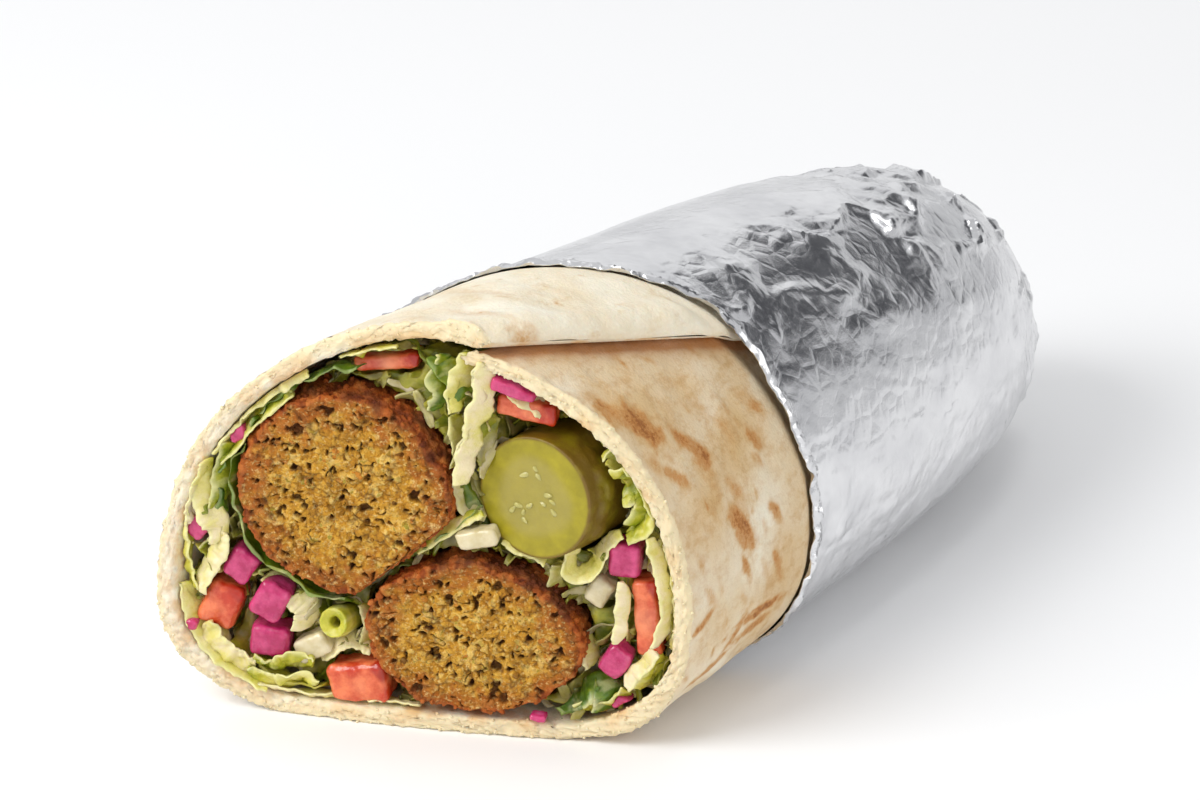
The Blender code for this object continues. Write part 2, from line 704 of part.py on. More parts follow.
def build_room_for_toppings(where):
    """Slightly larger copies of the pieces, which the leaves and the salad are cut away from."""
    build_falafels(None, where, CLEAR + CRAG, "clear_")
    build_pickle(None, where, CLEAR + 0.1 * MM, "clear_")
    for kind in DICE:
        build_dice(kind, None, where, CLEAR, "clear_")
    build_stem("clear_stem", None, where, CLEAR)


def add_clear_leaves(where):
    for name, (path, shape) in LEAVES.items():
        settle(ribbon("clear_" + name, path, shape, LEAF, None, where, grow=0.55))


def main():
    bread_looks = new_material("flatbread", "#E5CFA2", 0.8)
    build_bread(bread_looks, PARTS, HELPERS)
    build_foil(new_material("foil", "#C9CACC", 0.3, 1.0), PARTS)
    build_falafels(new_material("falafel", "#A9772F", 0.85), PARTS)
    build_pickle(new_material("pickle", "#A8A43A", 0.35), PARTS)
    room = build_room("room_in_bread", ROOM_MARGIN, -6 * MM)
    colours = {"turnip": "#C8408F", "tomato": "#D8523A", "onion": "#E9E6CC"}
    for kind, colour in colours.items():
        build_dice(kind, new_material(kind, colour, 0.35), PARTS, room=room)
    leaf_looks = new_material("lettuce_leaf", "#5E8A2C", 0.45)
    build_stem("stem_slice", leaf_looks, PARTS)
    toppings = new_collection("room_for_toppings", hidden=True)
    build_room_for_toppings(toppings)
    build_leaves(leaf_looks, PARTS, toppings, room)
    add_clear_leaves(toppings)
    build_salad(new_material("salad", "#B9C98A", 0.5), PARTS, toppings, room)


clear_scene()
PARTS = new_collection("falafel_wrap")
HELPERS = new_collection("helpers", hidden=True)
FRAME = bpy.data.objects.new("wrap_frame", None)
FRAME.location.xy = -MIDDLE[0], -MIDDLE[1]
PARTS.objects.link(FRAME)
main()
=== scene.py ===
"""A halved falafel wrap, dressed for the camera.

The flatbread, the foil, the fried balls and the pickle are rebuilt finely from the same named sizes
as their solids, and the small pieces are refined copies of theirs. Lengths are in metres and angles
in degrees. The wrap's own form runs along +Y from its slanting cut, and `WrapForm.in_frame` moves a
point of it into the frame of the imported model.
"""

import json
import logging
import math
from collections.abc import Sequence
from dataclasses import dataclass, field
from enum import Enum

import bmesh
import bpy
import numpy as np
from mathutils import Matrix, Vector
from numpy.typing import NDArray

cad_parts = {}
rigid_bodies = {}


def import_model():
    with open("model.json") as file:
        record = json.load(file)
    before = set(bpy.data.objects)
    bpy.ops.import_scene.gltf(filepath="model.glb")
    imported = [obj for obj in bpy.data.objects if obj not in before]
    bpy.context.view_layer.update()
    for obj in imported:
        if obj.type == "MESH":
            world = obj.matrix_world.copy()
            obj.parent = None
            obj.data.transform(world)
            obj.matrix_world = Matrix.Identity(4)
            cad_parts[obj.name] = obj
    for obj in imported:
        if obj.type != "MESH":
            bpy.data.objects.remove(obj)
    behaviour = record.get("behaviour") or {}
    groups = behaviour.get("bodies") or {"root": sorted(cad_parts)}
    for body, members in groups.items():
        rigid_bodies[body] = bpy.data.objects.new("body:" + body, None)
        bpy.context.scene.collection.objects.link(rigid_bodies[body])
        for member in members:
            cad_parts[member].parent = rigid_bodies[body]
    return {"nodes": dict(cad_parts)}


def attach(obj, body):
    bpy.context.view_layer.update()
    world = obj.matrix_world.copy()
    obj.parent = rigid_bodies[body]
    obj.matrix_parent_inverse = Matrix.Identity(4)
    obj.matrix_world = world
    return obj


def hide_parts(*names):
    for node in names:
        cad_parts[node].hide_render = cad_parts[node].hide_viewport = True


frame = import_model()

Array = NDArray[np.float64]
Piece = bpy.types.Object
Mesh = bpy.types.Mesh
BMesh = bmesh.types.BMesh
Material = bpy.types.Material
NodeTree = bpy.types.NodeTree
Socket = bpy.types.NodeSocket
Settings = dict[str | int, object]
Links = dict[str | int, Socket]
Stops = Sequence[tuple[float, str]]

MM = 0.001
FULL_TURN = 2 * math.pi
QUARTER_TURN = math.pi / 2
ROOT = "root"
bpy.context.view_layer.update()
LOG = logging.getLogger("wrap")


# Numbers: easing and noise over arrays of points. Each pattern of noise has a seed of its own.


def smooth(value: Array) -> Array:
    """Eases from 0 to 1 as the value goes from 0 to 1."""
    value = np.clip(value, 0.0, 1.0)
    return value * value * (3 - 2 * value)


def ramp(value: Array, start: float, span: float) -> Array:
    """Eases from 0 to 1 over a span of values that begins at a start."""
    return smooth((value - start) / span)


def fade(value: Array, stop: Array | float, span: float) -> Array:
    """Eases from 1 to 0 over a span of values that ends at a stop."""
    return smooth((stop - value) / span)


def bell(value: Array, middle: float, width: Array | float) -> Array:
    """A smooth hump, 1 at the middle and 0.37 one width away."""
    return np.exp(-(((value - middle) / width) ** 2))


def lattice(cell: Array, seed: int) -> Array:
    """A number from 0 to 1 for each whole-numbered cell, the same each run.

    Args:
        cell: whole-numbered places, three to a row.
        seed: picks one of many such sets.

    Returns:
        One number for each row.
    """
    x, y, z = (cell[..., k].astype(np.int64) for k in range(3))
    mixed = (x * 73856093) ^ (y * 19349663) ^ (z * 83492791) ^ (seed * 26544357)
    mixed = (mixed ^ (mixed >> 13)) * 1274126177
    mixed = (mixed ^ (mixed >> 15)) * 668265263
    return ((mixed ^ (mixed >> 16)) & 0xFFFFFF) / 0x1000000


def soft_noise(points: Array, size: float, seed: int) -> Array:
    """Gradient noise from about -1 to 1.

    Args:
        points: places in metres.
        size: how wide one swell is.
        seed: picks the pattern.

    Returns:
        One value for each point.
    """
    scaled = points / size
    cell = np.floor(scaled)
    part = scaled - cell
    ease = part**3 * (part * (part * 6 - 15) + 10)
    total = np.zeros(points.shape[:-1])
    for corner in np.ndindex(2, 2, 2):
        at = cell + corner
        slope = np.stack([lattice(at, seed + 71 * k) for k in range(3)], -1) * 2 - 1
        share = np.prod(np.where(np.array(corner) == 1, ease, 1 - ease), axis=-1)
        total += share * np.sum(slope * (part - corner), axis=-1)
    return total * 1.6


def fractal(points: Array, size: float, seed: int, octaves: int = 4) -> Array:
    """Gradient noise with finer and finer swells added, each half as wide and as strong."""
    return sum(soft_noise(points, size / 2**k, seed + 13 * k) / 2**k for k in range(octaves))


def wander(points: Array, size: float, seed: int, octaves: int = 2) -> Array:
    """A sideways drift of about unit length or less for each point, from fractal noise."""
    return np.stack([fractal(points, size, seed + k, octaves) for k in range(3)], -1)


def nearest_cells(points: Array, size: float, seed: int) -> tuple[Array, Array, Array]:
    """The two nearest of a field of scattered centres.

    Args:
        points: places in metres.
        size: mean distance between centres.
        seed: picks the centres.

    Returns:
        The squared distances to the nearest and the second centre, in centre distances, and a
        number from 0 to 1 that is the same all over one centre's cell.
    """
    scaled = points / size
    home = np.floor(scaled)
    near = np.full(points.shape[:-1], 9.0)
    second, tag = near.copy(), np.zeros_like(near)
    for step in np.ndindex(3, 3, 3):
        at = home + np.array(step) - 1
        centre = at + np.stack([lattice(at, seed + 37 * k) for k in range(3)], -1)
        away = np.sum((scaled - centre) ** 2, axis=-1)
        closer = away < near
        second = np.where(closer, near, np.minimum(second, away))
        tag = np.where(closer, lattice(at, seed + 997), tag)
        near = np.where(closer, away, near)
    return near, second, tag


def creases(points: Array, size: float, seed: int) -> Array:
    """Relief of a crumpled sheet: flat facets that meet in sharp lines, about -1 to 1."""
    near, second, _ = nearest_cells(points, size, seed)
    # the difference of two squared distances is linear, so each facet is truly flat
    return (second - near) * 1.7 - 0.8


def keels(points: Array, size: float, seed: int, top: float, slope: float) -> Array:
    """Relief of sharp folds as high as the top, which run where a swell crosses zero."""
    return top - slope * np.abs(soft_noise(points, size, seed))


# Meshes


def mesh_from_grid(name: str, points: Array, fields: dict[str, Array] | None = None) -> Mesh:
    """A closed skin through a grid of points whose columns go all the way round.

    Args:
        name: the mesh's name.
        points: rows by columns by three. The first and last rows each close on themselves.
        fields: values to keep at each point, for the finish to read.

    Returns:
        The mesh, with its doubles merged and its faces pointing outwards.
    """
    rows, columns = points.shape[:2]
    index = np.arange(rows * columns).reshape(rows, columns)
    index = np.hstack([index, index[:, :1]])
    corners = (index[:-1, :-1], index[:-1, 1:], index[1:, 1:], index[1:, :-1])
    quads = np.stack(corners, -1).reshape(-1, 4)
    mesh = bpy.data.meshes.new(name)
    mesh.vertices.add(rows * columns)
    mesh.vertices.foreach_set("co", points.astype(np.float32).ravel())
    mesh.loops.add(quads.size)
    mesh.loops.foreach_set("vertex_index", quads.astype(np.int32).ravel())
    mesh.polygons.add(len(quads))
    mesh.polygons.foreach_set("loop_start", np.arange(0, quads.size, 4, dtype=np.int32))
    mesh.update(calc_edges=True)
    for label, values in (fields or {}).items():
        keep_field(mesh, label, values)
    bm = bmesh.new()
    bm.from_mesh(mesh)
    bmesh.ops.remove_doubles(bm, verts=bm.verts, dist=0.004 * MM)
    bmesh.ops.recalc_face_normals(bm, faces=bm.faces)
    if bm.calc_volume(signed=True) < 0:
        bmesh.ops.reverse_faces(bm, faces=bm.faces)
    bm.to_mesh(mesh)
    bm.free()
    mesh.shade_smooth()
    return mesh


def keep_field(mesh: Mesh, label: str, values: Array) -> None:
    """Stores one value for each point of a mesh under a name that a finish reads."""
    kept = mesh.attributes.new(label, "FLOAT", "POINT")
    kept.data.foreach_set("value", np.asarray(values, np.float32).ravel())


def points_of(mesh: Mesh) -> Array:
    """The places of a mesh's points."""
    found = np.empty(len(mesh.vertices) * 3, np.float32)
    mesh.vertices.foreach_get("co", found)
    return found.reshape(-1, 3).astype(float)


def normals_of(mesh: Mesh) -> Array:
    """The outward directions at a mesh's points."""
    found = np.empty(len(mesh.vertices) * 3, np.float32)
    mesh.vertex_normals.foreach_get("vector", found)
    return found.reshape(-1, 3).astype(float)


def move_points(mesh: Mesh, points: Array) -> None:
    """Puts a mesh's points at new places."""
    mesh.vertices.foreach_set("co", points.astype(np.float32).ravel())
    mesh.update()


def new_object(name: str, mesh: Mesh) -> Piece:
    """An object at the origin that shows a mesh."""
    made = bpy.data.objects.new(name, mesh)
    bpy.context.scene.collection.objects.link(made)
    return made


def applied(piece: Piece) -> Piece:
    """Makes a piece's modifiers part of its mesh.

    Args:
        piece: the piece.

    Returns:
        The same piece.
    """
    bpy.context.view_layer.update()
    graph = bpy.context.evaluated_depsgraph_get()
    mesh = bpy.data.meshes.new_from_object(piece.evaluated_get(graph))
    piece.modifiers.clear()
    piece.data = mesh
    return piece


def refined_copy(name: str, node: str, voxel: float, rounding: int) -> Piece:
    """A fine, softly rounded copy of a node's solid.

    Args:
        name: the new piece's name.
        node: the node that it is copied from.
        voxel: how wide its faces are.
        rounding: how many times its corners are softened.

    Returns:
        The new piece.
    """
    mesh = frame["nodes"][node].data.copy()
    bm = bmesh.new()
    bm.from_mesh(mesh)
    bmesh.ops.remove_doubles(bm, verts=bm.verts, dist=0.002 * MM)
    bm.to_mesh(mesh)
    bm.free()
    mesh.materials.clear()
    piece = new_object(name, mesh)
    remesh = piece.modifiers.new("even_faces", "REMESH")
    remesh.mode = "VOXEL"
    remesh.voxel_size = voxel
    soften = piece.modifiers.new("rounded", "SMOOTH")
    soften.iterations = rounding
    applied(piece).data.shade_smooth()
    return piece


def dress(piece: Piece, finish: Material, slot: str, *nodes: str) -> Piece:
    """Gives a piece its finish and its place in the frame.

    Args:
        piece: the finished piece.
        finish: the material that covers it.
        slot: the record's slot that the finish belongs to; not used.
        nodes: the nodes that the piece stands for.

    Returns:
        The same piece.
    """
    if not piece.data.materials:
        piece.data.materials.append(finish)
    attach(piece, ROOT)
    if nodes:
        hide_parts(*nodes)
    LOG.info("%s: %d faces", piece.name, len(piece.data.polygons))
    return piece


# Finishes


def linear(colour: str) -> tuple[float, float, float, float]:
    """The scene's own colour for an sRGB hex value."""
    parts = [int(colour[i : i + 2], 16) / 255 for i in (1, 3, 5)]
    return (*(p / 12.92 if p <= 0.04045 else ((p + 0.055) / 1.055) ** 2.4 for p in parts), 1.0)


def add_node(
    tree: NodeTree, kind: str, settings: Settings | None = None, links: Links | None = None
) -> bpy.types.Node:
    """Adds a node with its settings and links.

    Args:
        tree: where the node goes.
        kind: its type.
        settings: properties or inputs by name or number. `stops` are a colour ramp's places and
            hex colours, and a hex colour is turned to linear.
        links: outputs that feed its inputs, by the input's name or number.

    Returns:
        The new node.
    """
    node = tree.nodes.new(kind)
    for name, value in (settings or {}).items():
        if isinstance(value, str) and value.startswith("#"):
            value = linear(value)
        if name == "stops":
            band = node.color_ramp.elements
            while len(band) < len(value):
                band.new(0.5)
            for element, (place, colour) in zip(band, value):
                element.position, element.color = place, linear(colour)
        elif isinstance(name, str) and hasattr(node, name):
            setattr(node, name, value)
        else:
            node.inputs[name].default_value = value
    for name, source in (links or {}).items():
        tree.links.new(source, node.inputs[name])
    return node


@dataclass
class Paint:
    """A material under way: its nodes, its shader and the places and fields that it reads."""

    name: str
    settings: Settings
    material: Material = field(init=False)
    tree: NodeTree = field(init=False)
    shader: bpy.types.Node = field(init=False)
    place: Socket = field(init=False)

    def __post_init__(self) -> None:
        """Starts the material with its shader's own values."""
        self.material = bpy.data.materials.new(self.name)
        self.material.use_nodes = True
        self.tree = self.material.node_tree
        self.shader = self.tree.nodes["Principled BSDF"]
        for name, value in self.settings.items():
            self.shader.inputs[name].default_value = value
        self.place = self.add("TexCoord").outputs["Object"]

    def add(
        self, kind: str, settings: Settings | None = None, links: Links | None = None
    ) -> bpy.types.Node:
        """Adds one of the shader's nodes."""
        return add_node(self.tree, "ShaderNode" + kind, settings, links)

    def both(self, operation: str, first: Socket, second: Socket) -> Socket:
        """The sum or the product of two values."""
        return self.add("Math", {"operation": operation}, {0: first, 1: second}).outputs[0]

    def band(self, stops: Stops, value: Socket) -> Socket:
        """The colour that a value picks from a band of colours."""
        return self.add("ValToRGB", {"stops": stops}, {"Fac": value}).outputs[0]

    def field(self, label: str) -> Socket:
        """The value that the mesh keeps under a name."""
        return self.add("Attribute", {"attribute_name": label}).outputs["Fac"]

    def swells(
        self, size: float, detail: float = 3.0, rough: float = 0.5,
        stretch: tuple[float, float, float] = (1, 1, 1),
    ) -> Socket:
        """Noise on the object's own places.

        Args:
            size: how wide one swell is.
            detail: how many finer swells it has.
            rough: how strong those are.
            stretch: squeezes the pattern along each axis.

        Returns:
            The socket of its value.
        """
        place = self.add("Mapping", {"Scale": stretch}, {"Vector": self.place}).outputs[0]
        settings = {"Scale": 1 / size, "Detail": detail, "Roughness": rough}
        return self.add("TexNoise", settings, {"Vector": place}).outputs[0]

    def mixed(self, share: Socket, low: Socket | str, high: Socket | str) -> Socket:
        """One colour laid over another.

        Args:
            share: how much of the second shows.
            low: the first colour, as a socket or a hex value.
            high: the second.

        Returns:
            The socket of the result.
        """
        ends = {6: low, 7: high}
        fixed = {k: v for k, v in ends.items() if isinstance(v, str)}
        linked = {k: v for k, v in ends.items() if not isinstance(v, str)}
        settings = {"data_type": "RGBA", "clamp_factor": True, **fixed}
        return self.add("Mix", settings, {0: share, **linked}).outputs[2]

    def eased(
        self, value: Socket, low: float, high: float, to: tuple[float, float] = (0, 1)
    ) -> Socket:
        """A value spread from one range to another, and held there."""
        settings = {"From Min": low, "From Max": high, "To Min": to[0], "To Max": to[1]}
        return self.add("MapRange", settings, {"Value": value}).outputs[0]

    def finished(self, colour: Socket, height: Socket | None, relief: float) -> Material:
        """Joins the colour and the fine relief to the shader.

        Args:
            colour: the socket of the surface's colour.
            height: the socket of its relief.
            relief: how deep the relief is.

        Returns:
            The finished material.
        """
        self.tree.links.new(colour, self.shader.inputs["Base Color"])
        if height:
            bump = self.add("Bump", {"Strength": 1.0, "Distance": relief}, {"Height": height})
            self.tree.links.new(bump.outputs[0], self.shader.inputs["Normal"])
        return self.material


@dataclass(frozen=True)
class GriddledFlatbread:
    """Wheat flatbread baked on a griddle: dry, matt and floury, with toasted blisters."""

    pale: str = "#EFE8D4"
    dough: str = "#E5D5B6"
    tan: str = "#D2B07C"
    bran: str = "#C0935A"
    halo: str = "#C7995F"
    charred: str = "#BC7D3C"
    burnt: str = "#8C5222"
    # painted shadow under the flap's hem, with a little toasting
    under_hem: str = "#A65F1C"
    crumb: str = "#EBDAB2"
    flour: str = "#FBF3DC"
    juice: str = "#D8A45A"

    def material(self) -> Material:
        """Builds the finish.

        Returns:
            The material.
        """
        paint = Paint("griddled wheat flatbread", {
            "Roughness": 0.7, "Subsurface Weight": 0.15, "Subsurface Radius": (1.0, 0.55, 0.3),
            "Subsurface Scale": 1.2 * MM, "Specular IOR Level": 0.35,
        })
        mottle = paint.eased(paint.swells(11 * MM, 5, 0.55), 0.34, 0.66)
        skin = paint.mixed(mottle, self.dough, self.pale)
        freckle = paint.eased(paint.swells(3.2 * MM, 4, 0.65, (1, 0.6, 1)), 0.55, 0.7, (0, 0.45))
        skin = paint.mixed(freckle, skin, self.tan)
        dusting = paint.eased(paint.swells(0.7 * MM, 2, 0.6), 0.5, 0.75, (0, 0.3))
        skin = paint.mixed(dusting, skin, self.flour)
        # the first layer's outside, which shows below the flap, is tinted tan in patches
        toast = paint.mixed(paint.field("toast"), skin, self.tan)
        bran = paint.eased(paint.swells(2.0 * MM, 5, 0.7, (1, 0.7, 1)), 0.47, 0.64, (0, 0.75))
        toast = paint.mixed(paint.both("MULTIPLY", bran, paint.field("toast")), toast, self.bran)
        speck = paint.eased(paint.swells(0.6 * MM, 3, 0.7), 0.36, 0.64, (0.72, 1.14))
        char = paint.both("MULTIPLY", paint.field("char"), speck)
        marked = paint.mixed(paint.eased(char, 0.0, 0.5, (0, 0.85)), toast, self.halo)
        marked = paint.mixed(paint.eased(char, 0.35, 0.85, (0, 0.9)), marked, self.charred)
        marked = paint.mixed(paint.eased(char, 0.72, 1.1, (0, 0.85)), marked, self.burnt)
        # painted shadow, with a little toasting, just below the flap's hem
        marked = paint.mixed(paint.field("under"), marked, self.under_hem)
        colour = paint.mixed(paint.field("torn"), marked, self.crumb)
        stain = paint.eased(paint.swells(6 * MM, 3, 0.6), 0.48, 0.62, (0, 0.6))
        wet = paint.both("MULTIPLY", stain, paint.field("inside"))
        colour = paint.mixed(wet, colour, self.juice)
        grain = paint.both("ADD", paint.swells(0.55 * MM, 3, 0.6), paint.swells(2.4 * MM, 3, 0.5))
        return paint.finished(colour, grain, 0.15 * MM)


@dataclass(frozen=True)
class KitchenFoil:
    """Rolled household aluminium foil: a bright mirror, dulled in patches by tiny creases."""

    metal: str = "#E8E8E9"
    dull: str = "#D6D6D8"

    def material(self) -> Material:
        """Builds the finish.

        Returns:
            The material.
        """
        paint = Paint("rolled aluminium foil", {"Metallic": 1.0, "Roughness": 0.25})
        patches = paint.eased(paint.swells(12 * MM, 4, 0.6), 0.35, 0.65)
        colour = paint.mixed(patches, self.metal, self.dull)
        rough = paint.eased(paint.swells(5 * MM, 4, 0.6), 0.3, 0.7, (0.14, 0.27))
        paint.tree.links.new(rough, paint.shader.inputs["Roughness"])
        facets = {"feature": "DISTANCE_TO_EDGE", "Scale": 1 / (3.0 * MM)}
        fold = paint.add("TexVoronoi", facets, {"Vector": paint.place})
        edge = paint.eased(fold.outputs["Distance"], 0.0, 0.2)
        fine = paint.eased(paint.swells(1.4 * MM, 4, 0.7), 0.2, 0.8, (0, 0.9))
        return paint.finished(colour, paint.both("ADD", edge, fine), 0.04 * MM)


@dataclass(frozen=True)
class FriedChickpea:
    """Ground chickpea with herbs, fried: a crumbly golden inside and a dark, hard, oily crust."""

    # a grain's colour: browned, golden, pale, then a few herbs and a few spiced
    inside: Stops = (
        (0.0, "#8E5E12"), (0.2, "#B47C1C"), (0.42, "#C88E24"), (0.6, "#D8A43A"), (0.78, "#E6C26A"),
        (0.85, "#9C9028"), (0.9, "#BC761E"), (1.0, "#D48430"))
    outside: Stops = (
        (0.0, "#602408"), (0.3, "#94400E"), (0.55, "#B65C1C"), (0.8, "#CE7A38"), (1.0, "#803C10"))
    golden: str = "#BE8C26"
    baked: str = "#A65614"
    husk: str = "#784C12"
    pale: str = "#F0D48C"
    # painted shade: darkens the crumb's pits, cracks and the gaps between its grains
    crumb_pit: str = "#4A270A"
    blotched: str = "#9C4A16"
    # painted shade in the crust's pits
    crust_pit: str = "#3E1A08"
    # the crust's darkest brown, laid towards its upper right in patches
    burnt: str = "#4C200C"

    def material(self) -> Material:
        """Builds the finish.

        Returns:
            The material.
        """
        paint = Paint("fried chickpea crumb", {
            "Roughness": 0.62, "Subsurface Weight": 0.08, "Subsurface Radius": (1.0, 0.6, 0.25),
            "Subsurface Scale": 0.7 * MM, "Specular IOR Level": 0.28,
        })
        crumb = paint.band(self.inside, paint.field("grain"))
        patch = paint.eased(paint.swells(5 * MM, 4, 0.6), 0.38, 0.62)
        crumb = paint.mixed(paint.eased(patch, 0, 1, (0, 0.4)), crumb, self.golden)
        crumb = paint.mixed(paint.eased(paint.field("baked"), 0, 1, (0, 0.85)), crumb, self.baked)
        speck = paint.eased(paint.swells(0.45 * MM, 3, 0.7), 0.51, 0.68, (0, 0.65))
        crumb = paint.mixed(speck, crumb, self.husk)
        light = paint.eased(paint.swells(0.7 * MM, 3, 0.65, (1, 1, 1.3)), 0.54, 0.68, (0, 0.6))
        crumb = paint.mixed(light, crumb, self.pale)
        # painted shade in the pits, cracks and gaps between grains
        crumb = paint.mixed(paint.field("pit"), crumb, self.crumb_pit)
        crust = paint.band(self.outside, paint.field("grain"))
        blotch = paint.eased(paint.swells(2.6 * MM, 5, 0.65), 0.4, 0.62, (0, 0.6))
        crust = paint.mixed(blotch, crust, self.blotched)
        # painted shade in the crust's pits and gaps
        crust = paint.mixed(paint.field("pit"), crust, self.crust_pit)
        # darker towards the upper right, in patches
        crust = paint.mixed(paint.field("burnt"), crust, self.burnt)
        colour = paint.mixed(paint.field("crust"), crumb, crust)
        relief = paint.both("ADD", paint.swells(0.4 * MM, 3, 0.7), paint.swells(1.0 * MM, 3, 0.6))
        return paint.finished(colour, relief, 0.35 * MM)


@dataclass(frozen=True)
class MoistFlesh:
    """Cut flesh of a fresh or pickled vegetable: moist and glassy, so light goes a little way in.

    `deep` and `pale` are the colours of its thick and thin parts. `core` is that of its middle and
    `skin` that of its rind, where the mesh keeps fields of those names.
    """

    name: str
    deep: str
    pale: str
    skin: str = ""
    core: str = ""
    glow: float = 0.35
    depth: float = 1.5 * MM
    roughness: float = 0.22
    patch: float = 3.5 * MM
    grain: float = 0.9 * MM
    relief: float = 0.1 * MM
    wet: float = 0.45

    def material(self) -> Material:
        """Builds the finish.

        Returns:
            The material.
        """
        red, green, blue, _ = linear(self.pale)
        most = max(red, green, blue)
        paint = Paint(self.name, {
            "Roughness": self.roughness,
            "Subsurface Weight": self.glow, "Subsurface Scale": self.depth,
            "Subsurface Radius": (0.25 + red / most, 0.25 + green / most, 0.25 + blue / most),
            "Coat Weight": self.wet, "Coat Roughness": 0.1,
        })
        patches = paint.eased(paint.swells(self.patch, 4, 0.6), 0.36, 0.64)
        colour = paint.mixed(patches, self.deep, self.pale)
        if self.core:
            colour = paint.mixed(paint.field("core"), colour, self.core)
        if self.skin:
            blush = paint.eased(paint.swells(3.4 * MM, 4, 0.6), 0.45, 0.7, (0, 0.6))
            skin = paint.mixed(blush, self.skin, self.deep)
            colour = paint.mixed(paint.field("skin"), colour, skin)
        return paint.finished(colour, paint.swells(self.grain, 4, 0.6), self.relief)


@dataclass(frozen=True)
class SaladLeaf:
    """Cos lettuce and white cabbage: satin, veined, and paler where the knife went through.

    The field `tone` runs from 0 for white cabbage through yellow-green to 1 for the dark outer
    leaf, `rim` marks the cut edges, and `shade` darkens what lies deep in the wrap.
    """

    tones: Stops = (
        (0.0, "#EADAB0"), (0.22, "#DCD078"), (0.42, "#C6BF3C"), (0.62, "#9AA01C"), (0.8, "#5E7C14"),
        (1.0, "#36560C"))
    cut_edge: str = "#E4DFA2"
    deep_shade: str = "#332B06"

    def material(self) -> Material:
        """Builds the finish.

        Returns:
            The material.
        """
        paint = Paint("shredded lettuce and cabbage", {
            "Roughness": 0.42, "Subsurface Weight": 0.22, "Subsurface Radius": (0.8, 1.0, 0.3),
            "Subsurface Scale": 0.8 * MM, "Coat Weight": 0.18, "Coat Roughness": 0.15,
        })
        patches = paint.eased(paint.swells(4.5 * MM, 4, 0.6), 0.35, 0.65, (-0.1, 0.1))
        fine = paint.eased(paint.swells(1.2 * MM, 3, 0.6, (1, 0.4, 1)), 0.4, 0.6, (-0.04, 0.05))
        tone = paint.both("ADD", paint.both("ADD", paint.field("tone"), patches), fine)
        colour = paint.band(self.tones, tone)
        veins = paint.eased(paint.swells(2.0 * MM, 2, 0.5, (1, 0.35, 1)), 0.56, 0.66, (0, 0.35))
        colour = paint.mixed(veins, colour, self.cut_edge)
        colour = paint.mixed(paint.field("rim"), colour, self.cut_edge)
        colour = paint.mixed(paint.field("shade"), colour, self.deep_shade)
        return paint.finished(colour, paint.swells(1.1 * MM, 4, 0.6), 0.2 * MM)


# The wrap's form, as the solids have it


